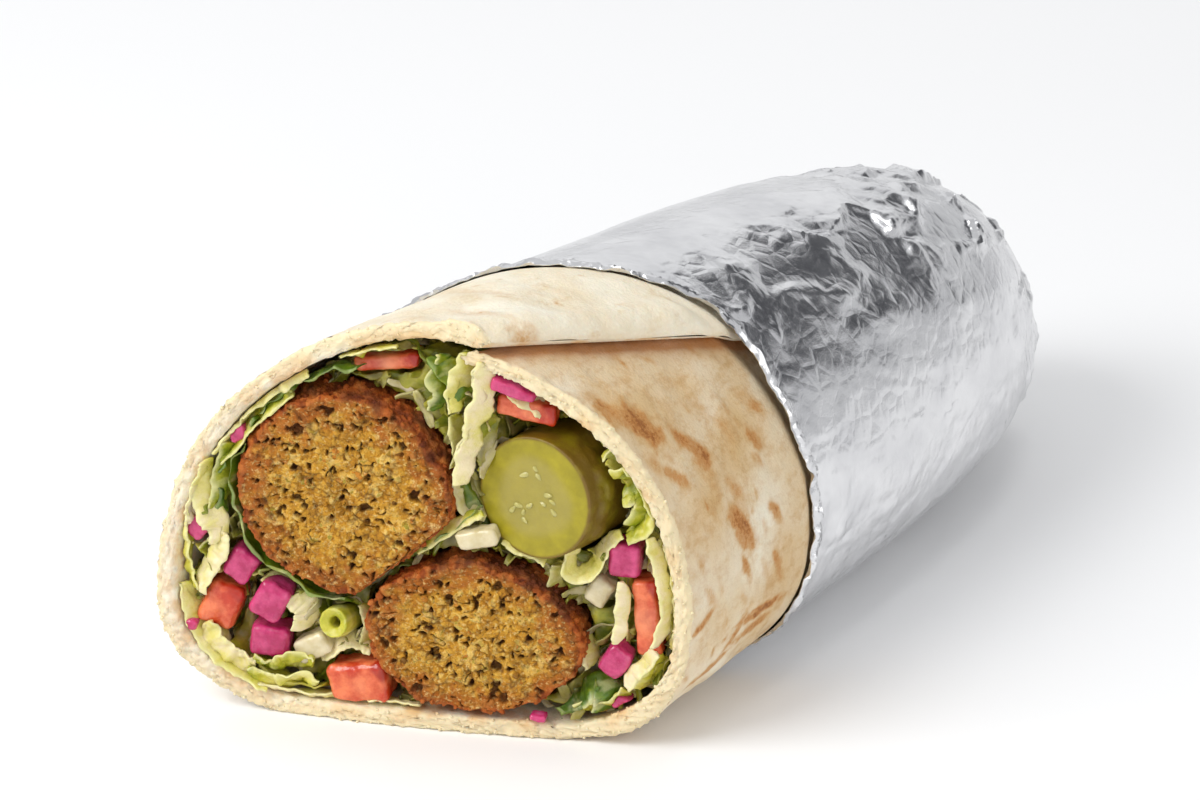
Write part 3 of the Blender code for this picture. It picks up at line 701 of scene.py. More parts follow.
@dataclass(frozen=True)
class WrapForm:
    """The outer form: a dome on a flat foot that tapers to a rounded end, cut on the slant."""

    half_width: float = 37.8 * MM
    widest_up: float = 20.6 * MM
    rise: float = 44.4 * MM
    lower_fullness: tuple[float, float] = (2.5, 2.16)
    foot_sink: float = 1.115
    lean: float = 0.05
    taper: float = 0.132 / (100 * MM)
    round_from: float = 61 * MM
    length: float = 148.3 * MM
    end_fullness: float = 2.94
    end_up: float = 26 * MM
    slant: float = 23.5
    middle: tuple[float, float] = (-0.5 * MM, 65.9 * MM)
    foil_rim: tuple[float, float, float] = (24 * MM, 0.62, 0.20)
    flap_out: float = 0.8 * MM
    flap_out_in_foil: float = 0.5 * MM
    bread: float = 2.5 * MM
    layer_gap: float = 0.4 * MM
    squeeze: float = 1.5 * MM

    def scale(self, along: Array) -> Array:
        """Share of the width that the taper leaves."""
        return 1 - self.taper * np.maximum(along, 0.0)

    def point(
        self, angle: Array, along: Array, out: Array | float = 0.0, length: float = 0.0
    ) -> Array:
        """Points of the form, or of the form grown outwards.

        Args:
            angle: round the section from the right-hand side over the top.
            along: distance from the middle of the cut.
            out: how far the form is grown.
            length: where the closed end is, if not at the wrap's own.

        Returns:
            The points, before they are moved into the frame.
        """
        cos, sin = np.cos(np.radians(angle)), np.sin(np.radians(angle))
        x = (self.half_width + out) * cos
        z = self.widest_up + (self.rise + out) * sin + self.lean * x * sin
        full, slim = self.lower_fullness
        power = 2 / (full + (slim - full) * smooth(along / (100 * MM)))
        low_x = (self.half_width + out) * np.sign(cos) * np.abs(cos) ** power
        low_z = self.widest_up - (self.widest_up * self.foot_sink + out) * np.abs(sin) ** power
        upper = sin >= 0
        x, z = np.where(upper, x, low_x), np.where(upper, z, low_z)
        z = np.maximum(z, np.maximum(-np.asarray(out), 0.0))
        reach = (length or self.length) - self.round_from
        share = np.clip((along - self.round_from) / reach, 0.0, 1.0)
        end = (1 - share**self.end_fullness) ** (1 / self.end_fullness)
        scale = self.scale(along)
        centre = self.end_up * scale
        return np.stack([x * scale * end, along + 0 * x, centre + (z * scale - centre) * end], -1)

    def cut(self, x: Array) -> Array:
        """Where the slanting cut crosses a given x."""
        return x * math.tan(math.radians(self.slant))

    def offset(self) -> Array:
        """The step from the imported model's frame to the form's own places."""
        return np.array([*self.middle, 0.0])

    def rim(self, point: Array) -> Array:
        """Where the foil's rim lies, for the x and z of a point."""
        start, by_x, by_z = self.foil_rim
        return start + by_x * point[..., 0] + by_z * point[..., 2]

    def hem(self, along: Array) -> Array:
        """The angle of the flap's hem, which drifts down the side."""
        return 79.0 - 62.0 * (1 - np.exp(-np.maximum(along, -20 * MM) / (85 * MM)))

    def lap(self, along: Array) -> Array:
        """How far the sheet laps over itself, in degrees."""
        return 4.0 + 30.0 * ramp(along, 4 * MM, 30 * MM)

    def flap_lift(self, along: Array) -> Array:
        """How far the flap stands out where it laps over."""
        held = ramp(along, 25 * MM, 35 * MM)
        return self.flap_out + (self.flap_out_in_foil - self.flap_out) * held

    def under_foil(self, angle: Array, along: Array) -> Array:
        """1 where the foil squeezes the bread, 0 in front of it."""
        return ramp(along - self.rim(self.point(angle, along)), -1.2 * MM, 4.5 * MM)

    def by_foil(self, angle: Array, along: Array) -> Array:
        """1 where the foil holds the bread smooth, which starts a little in front of it."""
        return ramp(along - self.rim(self.point(angle, along)), -6 * MM, 4 * MM)

    def outer_lift(self, angle: Array, along: Array) -> Array:
        """Height of the outer layer above the form."""
        beyond = angle - self.hem(along) - self.lap(along) - 3
        return self.flap_lift(along) * (1 - smooth(beyond / 30))

    def inner_drop(self, angle: Array, along: Array) -> Array:
        """Depth of the inner layer under the form."""
        depth = self.bread + self.layer_gap - self.flap_lift(along)
        return depth * ramp(angle - self.hem(along), -45, 45)

    def in_frame(self, points: Array) -> Array:
        """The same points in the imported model's frame."""
        return points - self.offset()

    def on_cut(self, across: Array | float, up: Array | float, depth: Array | float) -> Array:
        """Points in the frame by their place on the cut, in millimetres.

        Args:
            across: distance to the right, along the cut.
            up: height.
            depth: distance behind the cut.

        Returns:
            The points, in metres.
        """
        turn = math.radians(self.slant)
        across, up, depth = (np.asarray(v, float) * MM for v in (across, up, depth))
        x = across * math.cos(turn) - depth * math.sin(turn)
        y = across * math.sin(turn) + depth * math.cos(turn)
        return self.in_frame(np.stack(np.broadcast_arrays(x, y, up), -1))

    def behind(self, points: Array) -> Array:
        """How far points in the frame lie behind the cut."""
        turn = math.radians(self.slant)
        return (points + self.offset()) @ np.array([-math.sin(turn), math.cos(turn), 0.0])

    def held_inside(self, points: Array, margin: float) -> Array:
        """Points in the frame, with those outside the form's skin pulled in.

        Args:
            points: places in the frame.
            margin: how far under the skin they are to lie at least.

        Returns:
            The points, held inside.
        """
        form = points + self.offset()
        scale = self.scale(form[..., 1])
        x, z = form[..., 0] / scale, form[..., 2] / scale
        above = z >= self.widest_up
        lean = self.lean * x * np.clip((z - self.widest_up) / self.rise, 0, 1)
        rise = (z - self.widest_up - lean) / (self.rise - margin)
        drop = (self.widest_up - z) / (self.widest_up * self.foot_sink - margin)
        power = np.where(above, 2.0, self.lower_fullness[0])
        across = np.abs(x / (self.half_width - margin)) ** power
        upright = np.abs(np.where(above, rise, drop)) ** power
        pull = np.minimum(1.0, 1.0 / np.maximum((across + upright) ** (1 / power), 1e-6))
        x, z = x * pull, self.widest_up + (z - self.widest_up) * pull
        held = np.stack([x * scale, form[..., 1], np.maximum(z * scale, margin)], -1)
        return held - self.offset()


FORM = WrapForm()


# Flatbread


class Stretch(Enum):
    """Stretches of the sheet, from its cut edge back."""

    SKIN = "skin"
    INNER = "inner"
    HIDDEN = "hidden"


@dataclass(frozen=True)
class GriddleMark:
    """A toasted blister.

    Its place is in degrees round the sheet and millimetres along it, its sizes are in millimetres,
    and its depth is that of its colour.
    """

    angle: float
    along: float
    length: float
    width: float
    turn: float
    depth: float


@dataclass
class Flatbread:
    """The rolled sheet, from its tucked-in start round to the flap's puffed hem."""

    columns: int = 500
    skin_rows: int = 92
    hidden_rows: int = 9
    edge_rows: int = 9
    inner_rows: int = 14
    end: float = 118 * MM
    folded_from: float = 108 * MM
    past_rim: float = 8 * MM
    puff: float = 1.2 * MM
    hem_rounding: float = 1.6 * MM
    cut_wave: float = 0.5 * MM
    blister_gap: float = 17 * MM
    radius: float = 40 * MM
    # the marks that show: angle, along, length, width, turn and depth
    marks: tuple[GriddleMark, ...] = tuple(GriddleMark(*sizes) for sizes in (
        (48, 14.0, 3.7, 2.0, -28, 0.8), (43, 18.5, 4.2, 2.4, -32, 1.05),
        (40, 20.8, 1.4, 1.5, -5, 0.9), (34, 26.6, 4.0, 1.5, -38, 1.05),
        (30, 26.8, 2.4, 1.0, -47, 0.6), (36, 45.5, 2.5, 1.3, -45, 0.6),
        (29, 42.1, 2.0, 1.2, -38, 0.85), (34, 36.5, 1.8, 1.1, -23, 0.5),
        (40, 34.2, 1.1, 0.7, -44, 0.35), (34, 16.5, 1.6, 1.1, -28, 0.55),
        (30, 19.8, 2.8, 0.9, -48, 0.75), (22, 32.8, 2.4, 1.1, -35, 0.55),
        (14, 32.1, 3.9, 1.8, -28, 1.05), (13, 41.6, 1.9, 0.9, -27, 0.75),
        (6, 32.0, 2.1, 0.8, -20, 0.75), (12, 20.1, 1.2, 0.7, -29, 0.45),
        (2, 40.8, 2.3, 0.9, -25, 0.8), (25, 40.5, 1.6, 0.7, -48, 0.45),
        (0, 19.8, 3.2, 0.6, 71, 0.85), (-10, 29.8, 5.2, 0.9, 31, 0.75),
        (-8, 37.0, 5.6, 1.3, -88, 1.1), (18, 23.1, 1.6, 0.6, -41, 0.35),
        (31, 11.9, 1.5, 0.8, -13, 0.35), (3, 37.2, 1.8, 0.6, -23, 0.4),
        (4, 22.0, 1.9, 0.7, -39, 0.45), (22, 15.0, 1.3, 0.7, -21, 0.3),
        (-14, 35.1, 4.7, 1.4, 83, 0.85), (-22, 24.0, 4.6, 1.4, 60, 0.8),
        (-6, 12.0, 2.6, 0.7, 66, 0.6),
    ))
    hidden_marks: int = 34
    freckles: int = 60
    flap: tuple[float, float] = (-285, -185)
    paler_on_flap: float = 0.4
    seed: int = 5

    def front(self, turn: Array, along: Array, out: Array | float) -> tuple[Array, Array]:
        """The sheet's angle at a share of its width, and where the cut crosses it there.

        Args:
            turn: shares of the sheet's width.
            along: distances along the wrap.
            out: how far outside the form the sheet lies.

        Returns:
            The angles, and the distances along the wrap of the cut.
        """
        angle = FORM.hem(along) + FORM.lap(along)
        angle = angle + (FORM.hem(along) - 360 - angle) * turn
        wave = self.cut_wave * np.sin(np.radians(5 * angle))
        return angle, FORM.cut(FORM.point(angle, along, out)[..., 0]) + wave

    def girth(self) -> float:
        """The length that a share of 1 across the sheet stands for."""
        return FULL_TURN * self.radius

    def shares(self) -> Array:
        """Places across the sheet from its start to its hem.

        Returns:
            The places, from 0 to 1, closest together at both ends.
        """
        rounding = self.hem_rounding / self.girth()
        bend = rounding * (1 - np.cos(np.linspace(0, QUARTER_TURN, 9)[:-1]))
        even = np.linspace(rounding, 1 - rounding, self.columns)
        return np.concatenate([bend, even, 1 - bend[::-1]])

    def rows(self) -> list[tuple[Stretch, float, float]]:
        """The rows that the sheet is laid in, from its hidden end round its cut edge and back.

        Returns:
            Each row's stretch of the sheet, its place on that stretch and its depth in the sheet.
        """
        to_rim = np.linspace(1, 0, self.hidden_rows, endpoint=False)
        from_rim = np.linspace(0, 1, self.hidden_rows + 1)[1:]
        through = np.linspace(0, 1, self.edge_rows + 2)[1:-1]
        made = [(Stretch.HIDDEN, share, 0.0) for share in to_rim]
        made += [(Stretch.SKIN, share, 0.0) for share in np.linspace(1, 0, self.skin_rows)]
        made += [(Stretch.SKIN, 0.0, depth) for depth in through]
        made += [(Stretch.INNER, share**1.4, 1.0) for share in np.linspace(0, 1, self.inner_rows)]
        made += [(Stretch.HIDDEN, share, 1.0) for share in from_rim]
        return made

    def row(
        self, stretch: Stretch, share: float, depth: float, turn: Array
    ) -> tuple[Array, Array, Array]:
        """One row across the sheet.

        Args:
            stretch: which part of the sheet it is on.
            share: how far along that part.
            depth: 0 at the outer skin, 1 at the inner.
            turn: places across the sheet.

        Returns:
            The row's points, their angles and their distances along the wrap.
        """
        along = np.zeros_like(turn)
        for _ in range(4):
            angle, front = self.front(turn, along, -depth * FORM.bread)
            rim = FORM.rim(FORM.point(angle, along)) + self.past_rim
            start, stop = (rim, self.end) if stretch is Stretch.HIDDEN else (front, rim)
            along = start + (stop - start) * share
        return self.shaped(angle, along, front, depth, turn), angle, along

    def shaped(self, angle: Array, along: Array, front: Array, depth: float, turn: Array) -> Array:
        """Lays a row at its depth in the sheet, with its hem rounded and its skin uneven.

        Args:
            angle: the row's angles.
            along: its distances along the wrap.
            front: those of the cut.
            depth: 0 at the outer skin, 1 at the inner.
            turn: places across the sheet.

        Returns:
            The row's points.
        """
        outer = turn > 0.5
        lift = np.where(outer, FORM.outer_lift(angle + 360, along), -FORM.inner_drop(angle, along))
        from_end = np.minimum(turn, 1 - turn) * self.girth()
        held = FORM.by_foil(angle, along)
        puff = self.puff * bell(from_end, 3.4 * MM, 3.2 * MM) * outer * (1 - 0.95 * held)
        thick = FORM.bread + puff
        round_off = np.sqrt(1 - (1 - np.clip(from_end / self.hem_rounding, 0, 1)) ** 2)
        middle = lift + 0.6 * puff - 0.5 * FORM.bread
        base = FORM.point(angle, along, lift)
        swell = 0.36 * fractal(base, 13 * MM, 11, 3) + 0.14 * fractal(base, 3.0 * MM, 17, 2)
        blister = smooth(1 - nearest_cells(base, self.blister_gap, 23)[0] * 5) * 0.4
        skin = (swell + blister) * MM * (1 - depth) * (1 - 0.88 * held)
        near_cut = np.exp(-np.maximum(along - front, 0) / (0.9 * MM))
        torn = near_cut * (0.34 * fractal(base + depth * 3 * MM, 1.2 * MM, 31, 3))
        corner = 1 - math.sqrt(1 - abs(2 * depth - 1) ** 5) if 0 < depth < 1 else 1.0
        ragged = fractal(base + depth * 5 * MM, 1.1 * MM, 37, 3)
        back = near_cut * (0.5 * corner + 0.5 * ragged) * MM
        out = middle + (0.5 - depth) * thick * round_off + skin + torn * MM * round_off
        out = out - FORM.squeeze * FORM.under_foil(angle, along)
        return FORM.point(angle, along + back, out)

    def drawn(
        self, random: np.random.Generator, count: int, *ranges: tuple[float, float]
    ) -> list[GriddleMark]:
        """Marks with each of their sizes drawn at random from its own range."""
        return [GriddleMark(*(random.uniform(*ends) for ends in ranges)) for _ in range(count)]

    def char(self, angle: Array, along: Array) -> Array:
        """Depth of the griddle's marks at places on the sheet's outside.

        Args:
            angle: the places' angles.
            along: their distances along the wrap.

        Returns:
            0 where the sheet is bare, about 1 in the middle of a dark mark.
        """
        random = np.random.default_rng(self.seed)
        marks = [
            *self.marks,
            *self.drawn(random, self.hidden_marks,
                        (-345, -50), (-8, 46), (1.6, 5.5), (0.8, 2.0), (-35, 15), (0.4, 1.0)),
            *self.drawn(random, self.freckles,
                        (-35, 60), (-4, 48), (0.4, 1.5), (0.25, 0.6), (-40, 10), (0.25, 0.7)),
            *self.drawn(random, self.freckles // 2,
                        (-285, -215), (-4, 48), (0.4, 1.6), (0.2, 0.45), (-30, 30), (0.6, 1.3)),
        ]
        place = np.stack([np.radians(angle) * self.radius, along, np.zeros_like(angle)], -1)
        ragged = 0.42 * fractal(place, 2.2 * MM, 41, 3)
        ragged = ragged + 0.25 * fractal(place * [1, 0.5, 1], 0.8 * MM, 47, 2)
        deepest = np.zeros_like(angle)
        for mark in marks:
            turn = math.radians(mark.turn)
            cos, sin = math.cos(turn), math.sin(turn)
            u = np.radians(angle - mark.angle) * self.radius / MM
            v = along / MM - mark.along
            far = np.hypot((u * cos + v * sin) / mark.length, (v * cos - u * sin) / mark.width)
            on_flap = self.flap[0] < mark.angle < self.flap[1]
            depth = mark.depth * (self.paler_on_flap if on_flap else 1.0)
            deepest = np.maximum(deepest, depth * smooth((1.7 - far + ragged) / 1.25))
        # a blister's top is browned in patches, and most along its edge
        patchy = 0.88 + 0.4 * fractal(place, 2.8 * MM, 59, 2)
        return deepest * np.clip(patchy, 0.5, 1.12)

    def fields(self, points: Array, angle: Array, along: Array, turn: Array) -> dict[str, Array]:
        """The values that the finish reads at each point of the sheet.

        Args:
            points: the sheet's points, a column for each row of it.
            angle: their angles.
            along: their distances along the wrap.
            turn: the places across the sheet.

        Returns:
            The values by name.
        """
        rows = self.rows()
        depth = np.array([row[2] for row in rows])
        at_front = np.array([row[0] is Stretch.SKIN and row[1] == 0.0 for row in rows])
        behind = along - along[:, [int(np.argmax(at_front))]]
        outside = np.broadcast_to(depth < 0.5, angle.shape)
        cut_through = np.broadcast_to((depth > 0) | at_front, angle.shape)
        torn = smooth(1.2 - behind / (0.55 * MM)) * cut_through
        below_hem = FORM.hem(along) - angle
        first = (turn < 0.5)[:, None] * outside
        tint = 0.55 + 0.5 * fractal(FORM.in_frame(points), 16 * MM, 53, 3)
        return {
            "char": self.char(angle, along) * outside * (1 - torn),
            "torn": torn * 0.9,
            "inside": np.broadcast_to(depth, angle.shape),
            # the first layer's outside, which shows below the flap, is tinted tan in patches
            "toast": np.clip(tint, 0, 1) * first,
            # under: painted shadow on the first layer just below the flap's hem, with a little
            # toasting
            "under": np.exp(-np.maximum(below_hem - 1.2, 0) / 1.8) * first * 0.75,
        }

    def build(self, finish: Material) -> Piece:
        """Builds the sheet, the crumbs at its cut edge and its folded end.

        Args:
            finish: the material that covers them.

        Returns:
            The sheet.
        """
        turn = self.shares()
        laid = [self.row(stretch, share, depth, turn) for stretch, share, depth in self.rows()]
        points, angle, along = (np.stack(part, 1) for part in zip(*laid))
        fields = self.fields(points, angle, along, turn)
        mesh = mesh_from_grid("flatbread_sheet", FORM.in_frame(points), fields)
        sheet = new_object("flatbread_sheet", mesh)
        dress(sheet, finish, "flatbread", "flatbread")
        Scatter(
            "bread_crumbs", Bit.CRUMB, spacing=0.9 * MM, density=900000.0,
            sizes=(0.25 * MM, 0.65 * MM), seed=6, sink=-0.05 * MM,
        ).strew(mesh, "torn", finish, "flatbread")
        self.build_folded_end(finish)
        return sheet

    def build_folded_end(self, finish: Material) -> Piece:
        """Builds the sheet's hidden end, folded in under the foil.

        Args:
            finish: the material that covers it.

        Returns:
            The folded end.
        """
        length, inset = FORM.length - 3 * MM, -(FORM.squeeze + 0.5 * FORM.bread)
        angle = np.arange(0, 360, 6.0)
        places = (self.folded_from, *np.linspace(self.folded_from, length - 0.5 * MM, 14))
        rings = [FORM.point(angle, np.full_like(angle, y), inset, length) for y in places]
        first, last = (
            FORM.end_up * float(FORM.scale(np.array(y))) for y in (self.folded_from, length))
        rings[0] = rings[0] * [0, 1, 0] + [0, 0, first]
        rings.append(rings[-1] * [0, 1, 0] + [0, 0.4 * MM, last])
        mesh = mesh_from_grid("folded_end", FORM.in_frame(np.stack(rings)))
        return dress(new_object("folded_end", mesh), finish, "flatbread")


# Foil


@dataclass
class FoilSleeve:
    """Kitchen foil wrapped round the closed end: calm in front, crumpled hard at the back."""

    # how many columns there are over the folded side, the left side and the flat foot
    columns: tuple[int, int, int] = (282, 80, 30)
    # the angles that part those stretches
    parted: tuple[float, float, float, float] = (-42, 132, 228, 318)
    outer_rows: int = 240
    inner_rows: int = 14
    thickness: float = 0.35 * MM
    edge: float = 0.12 * MM
    rim_wave: float = 0.8 * MM
    rim_ragged: float = 0.9 * MM
    loose: float = 0.22 * MM
    flare: float = 0.14 * MM
    crinkle: float = 0.36 * MM
    lip: float = 0.75 * MM
    lip_width: float = 2.1 * MM
    # the deepest hollow, so that the foil stays on the bread, in millimetres
    deepest: float = 0.75
    sharp: float = 28.0

    def along(self, angle: Array, share: float) -> tuple[Array, Array]:
        """Where a row lies along the wrap, and where the rim is.

        Args:
            angle: places round the sleeve.
            share: 0 at the rim, 1 at the closed end.

        Returns:
            The row's distances along the wrap, and the rim's.
        """
        along = np.full_like(angle, 30 * MM)
        for _ in range(4):
            wave = self.rim_wave * np.sin(np.radians(7 * angle + 40))
            rim = FORM.rim(FORM.point(angle, along)) + wave
            along = rim + (FORM.length - rim) * math.sin(math.radians(90 * share)) ** 1.1
        ragged = self.rim_ragged * fractal(FORM.point(angle, rim), 4.0 * MM, 43, 4)
        ragged = ragged * (1 - share) ** 20
        return along + ragged, rim

    def hard(self, angle: Array, along: Array) -> Array:
        """How hard the foil is crumpled: along the ridge over the hem, and over the closed end.

        Args:
            angle: places round the sleeve.
            along: places along it.

        Returns:
            0 where it is calm, 1 where it is crushed.
        """
        spread = ramp(along, 24 * MM, 60 * MM)
        ridge = bell(angle - 54 - 8 * spread, 0, 11 + 7 * spread) * ramp(along, 20 * MM, 24 * MM)
        top = bell(angle, 84, 36) * ramp(along, 78 * MM, 40 * MM)
        near_rim = 0.4 * bell(angle, 44, 20) * fade(along, 60 * MM, 22 * MM)
        far_side = bell(angle, 184, 36) * ramp(along, 40 * MM, 60 * MM)
        closed = ramp(along, 118 * MM, 20 * MM)
        return np.clip(0.95 * ridge + top + near_rim + 0.4 * far_side + 0.6 * closed, 0, 1.2)

    def gathered(self, angle: Array, along: Array, relief: Array) -> Array:
        """How far the closed end's folds and pleats stand out along the wrap, in metres.

        Args:
            angle: places round the sleeve.
            along: places along it.
            relief: height of the folds there.

        Returns:
            How far each point moves back.
        """
        turn = np.radians(angle)
        ring = 14 * MM * np.stack([np.cos(turn), np.sin(turn), 4 * along], -1)
        pleats = keels(ring, 7 * MM, 97, 0.5, 1.7) + keels(ring, 3.4 * MM, 99, 0.0, 0.5)
        fading = 1 - 0.7 * ramp(along - FORM.length, -4 * MM, 4 * MM)
        return ramp(along, 122 * MM, 16 * MM) * (0.9 * relief + 1.5 * MM * pleats * fading)

    def relief(self, base: Array, angle: Array, along: Array) -> Array:
        """Height of the folds above the sleeve's even form, in metres.

        Args:
            base: points of the even form.
            angle: their angles.
            along: their distances along the wrap.

        Returns:
            One height for each point.
        """
        warped = base + 2.6 * MM * wander(base, 10 * MM, 51)
        # the folds run along the wrap, so their patterns are drawn out that way
        drawn_out, leaning = warped * [1, 0.6, 1], warped * [1, 0.7, 1]
        long_folds = creases(warped * [1, 0.28, 1], 12 * MM, 61)
        wide = creases(drawn_out, 16 * MM, 67)
        middle = creases(drawn_out, 7.0 * MM, 71)
        fine = creases(warped, 2.6 * MM, 73)
        large, small = keels(leaning, 15 * MM, 75, 0.5, 1.8), keels(leaning, 7 * MM, 77, 0.4, 1.8)
        calm = 0.12 * long_folds + 0.05 * middle + 0.03 * fine - 0.1 * large
        busy = ramp(along, 92 * MM, 34 * MM)
        crushed = (1.5 - 0.5 * busy) * wide + (2.2 - 0.1 * busy) * large
        crushed = crushed + (0.2 + 0.4 * busy) * middle
        crushed = crushed + (0.3 + 0.95 * busy) * small + (0.08 + 0.1 * busy) * fine + 0.2
        left = bell(angle, 184, 40) * (0.35 + 0.65 * ramp(along, 25 * MM, 50 * MM))
        side = bell(angle, -6, 34) + 1.2 * left
        wrinkles = keels(warped * [1, 0.6, 1.3], 6 * MM, 79, 0.4, 1.6)
        radial = 0.2 * creases(warped * [1, 0.5, 1], 5.2 * MM, 81) + 0.22 * wrinkles + 0.07 * fine
        dented = 1.3 * creases(drawn_out, 9 * MM, 101) + small + 0.45
        folded = calm + radial * side + dented * left + self.hard(angle, along) * crushed
        return np.where(folded < 0, self.deepest * np.tanh(folded / self.deepest), folded) * MM

    def row(self, angle: Array, share: float, inner: bool) -> Array:
        """One ring of the sleeve.

        Args:
            angle: places round it.
            share: 0 at the rim, 1 at the closed end.
            inner: whether the ring is on the side that faces the bread.

        Returns:
            The ring's points.
        """
        along, rim = self.along(angle, share)
        top = FORM.point(angle, along)
        past_hem = FORM.hem(along) - angle
        stepping = FORM.flap_lift(along) * (1 - smooth(past_hem / 9))
        lift = np.where(past_hem > 0, stepping, FORM.outer_lift(angle, along))
        lift = np.where(angle < 180, lift, 0.0)
        behind = along - rim
        flare = self.flare * np.exp(-behind / (4 * MM)) * (1 + 0.7 * soft_noise(top, 9 * MM, 83))
        back_to = self.lip_width + 1.2 * MM * fractal(top, 6 * MM, 89, 3)
        turned_back = fade(behind, back_to, 0.5 * MM) * smooth(behind / (0.7 * MM))
        lip = turned_back * (self.lip + 0.5 * MM * creases(top * [1, 2, 1], 3.4 * MM, 91))
        free = smooth(top[..., 2] / (9 * MM))
        folds = 0.5 + 0.5 * creases(top * [1, 0.5, 1], 2.4 * MM, 93)
        folds = folds + 0.6 * creases(top, 5 * MM, 95)
        crinkle = self.crinkle * np.exp(-behind / (2.4 * MM)) * folds
        stand = self.loose + flare + crinkle
        if inner:
            wall = self.edge + (self.thickness - self.edge + 0.5 * MM) * smooth(behind / (3 * MM))
            return FORM.point(angle, along, lift + stand * free - wall)
        relief = self.relief(top, angle, along) * smooth(behind / (2.5 * MM))
        points = FORM.point(angle, along, lift + (stand + lip + relief) * free)
        points[..., 1] += self.gathered(angle, along, relief)
        return points

    def build(self, finish: Material) -> Piece:
        """Builds the sleeve.

        Args:
            finish: the material that covers it.

        Returns:
            The sleeve.
        """
        angle = np.concatenate([
            np.linspace(start, stop, count, endpoint=False)
            for start, stop, count in zip(self.parted, self.parted[1:], self.columns)])
        # the angle runs on past 180 on the left, as the form's own functions expect
        wrapped = np.where(angle > 270, angle - 360, angle)
        inner = [self.row(wrapped, share, True) for share in np.linspace(1, 0, self.inner_rows)]
        outer = [self.row(wrapped, share, False) for share in np.linspace(0, 1, self.outer_rows)]
        points = np.stack(inner + outer)
        points[0], points[-1] = points[0].mean(0), points[-1].mean(0)
        mesh = mesh_from_grid("foil_wrapper", FORM.in_frame(points))
        mesh.set_sharp_from_angle(angle=math.radians(self.sharp))
        return dress(new_object("foil_wrapper", mesh), finish, "foil", "foil_sleeve")


# Filling


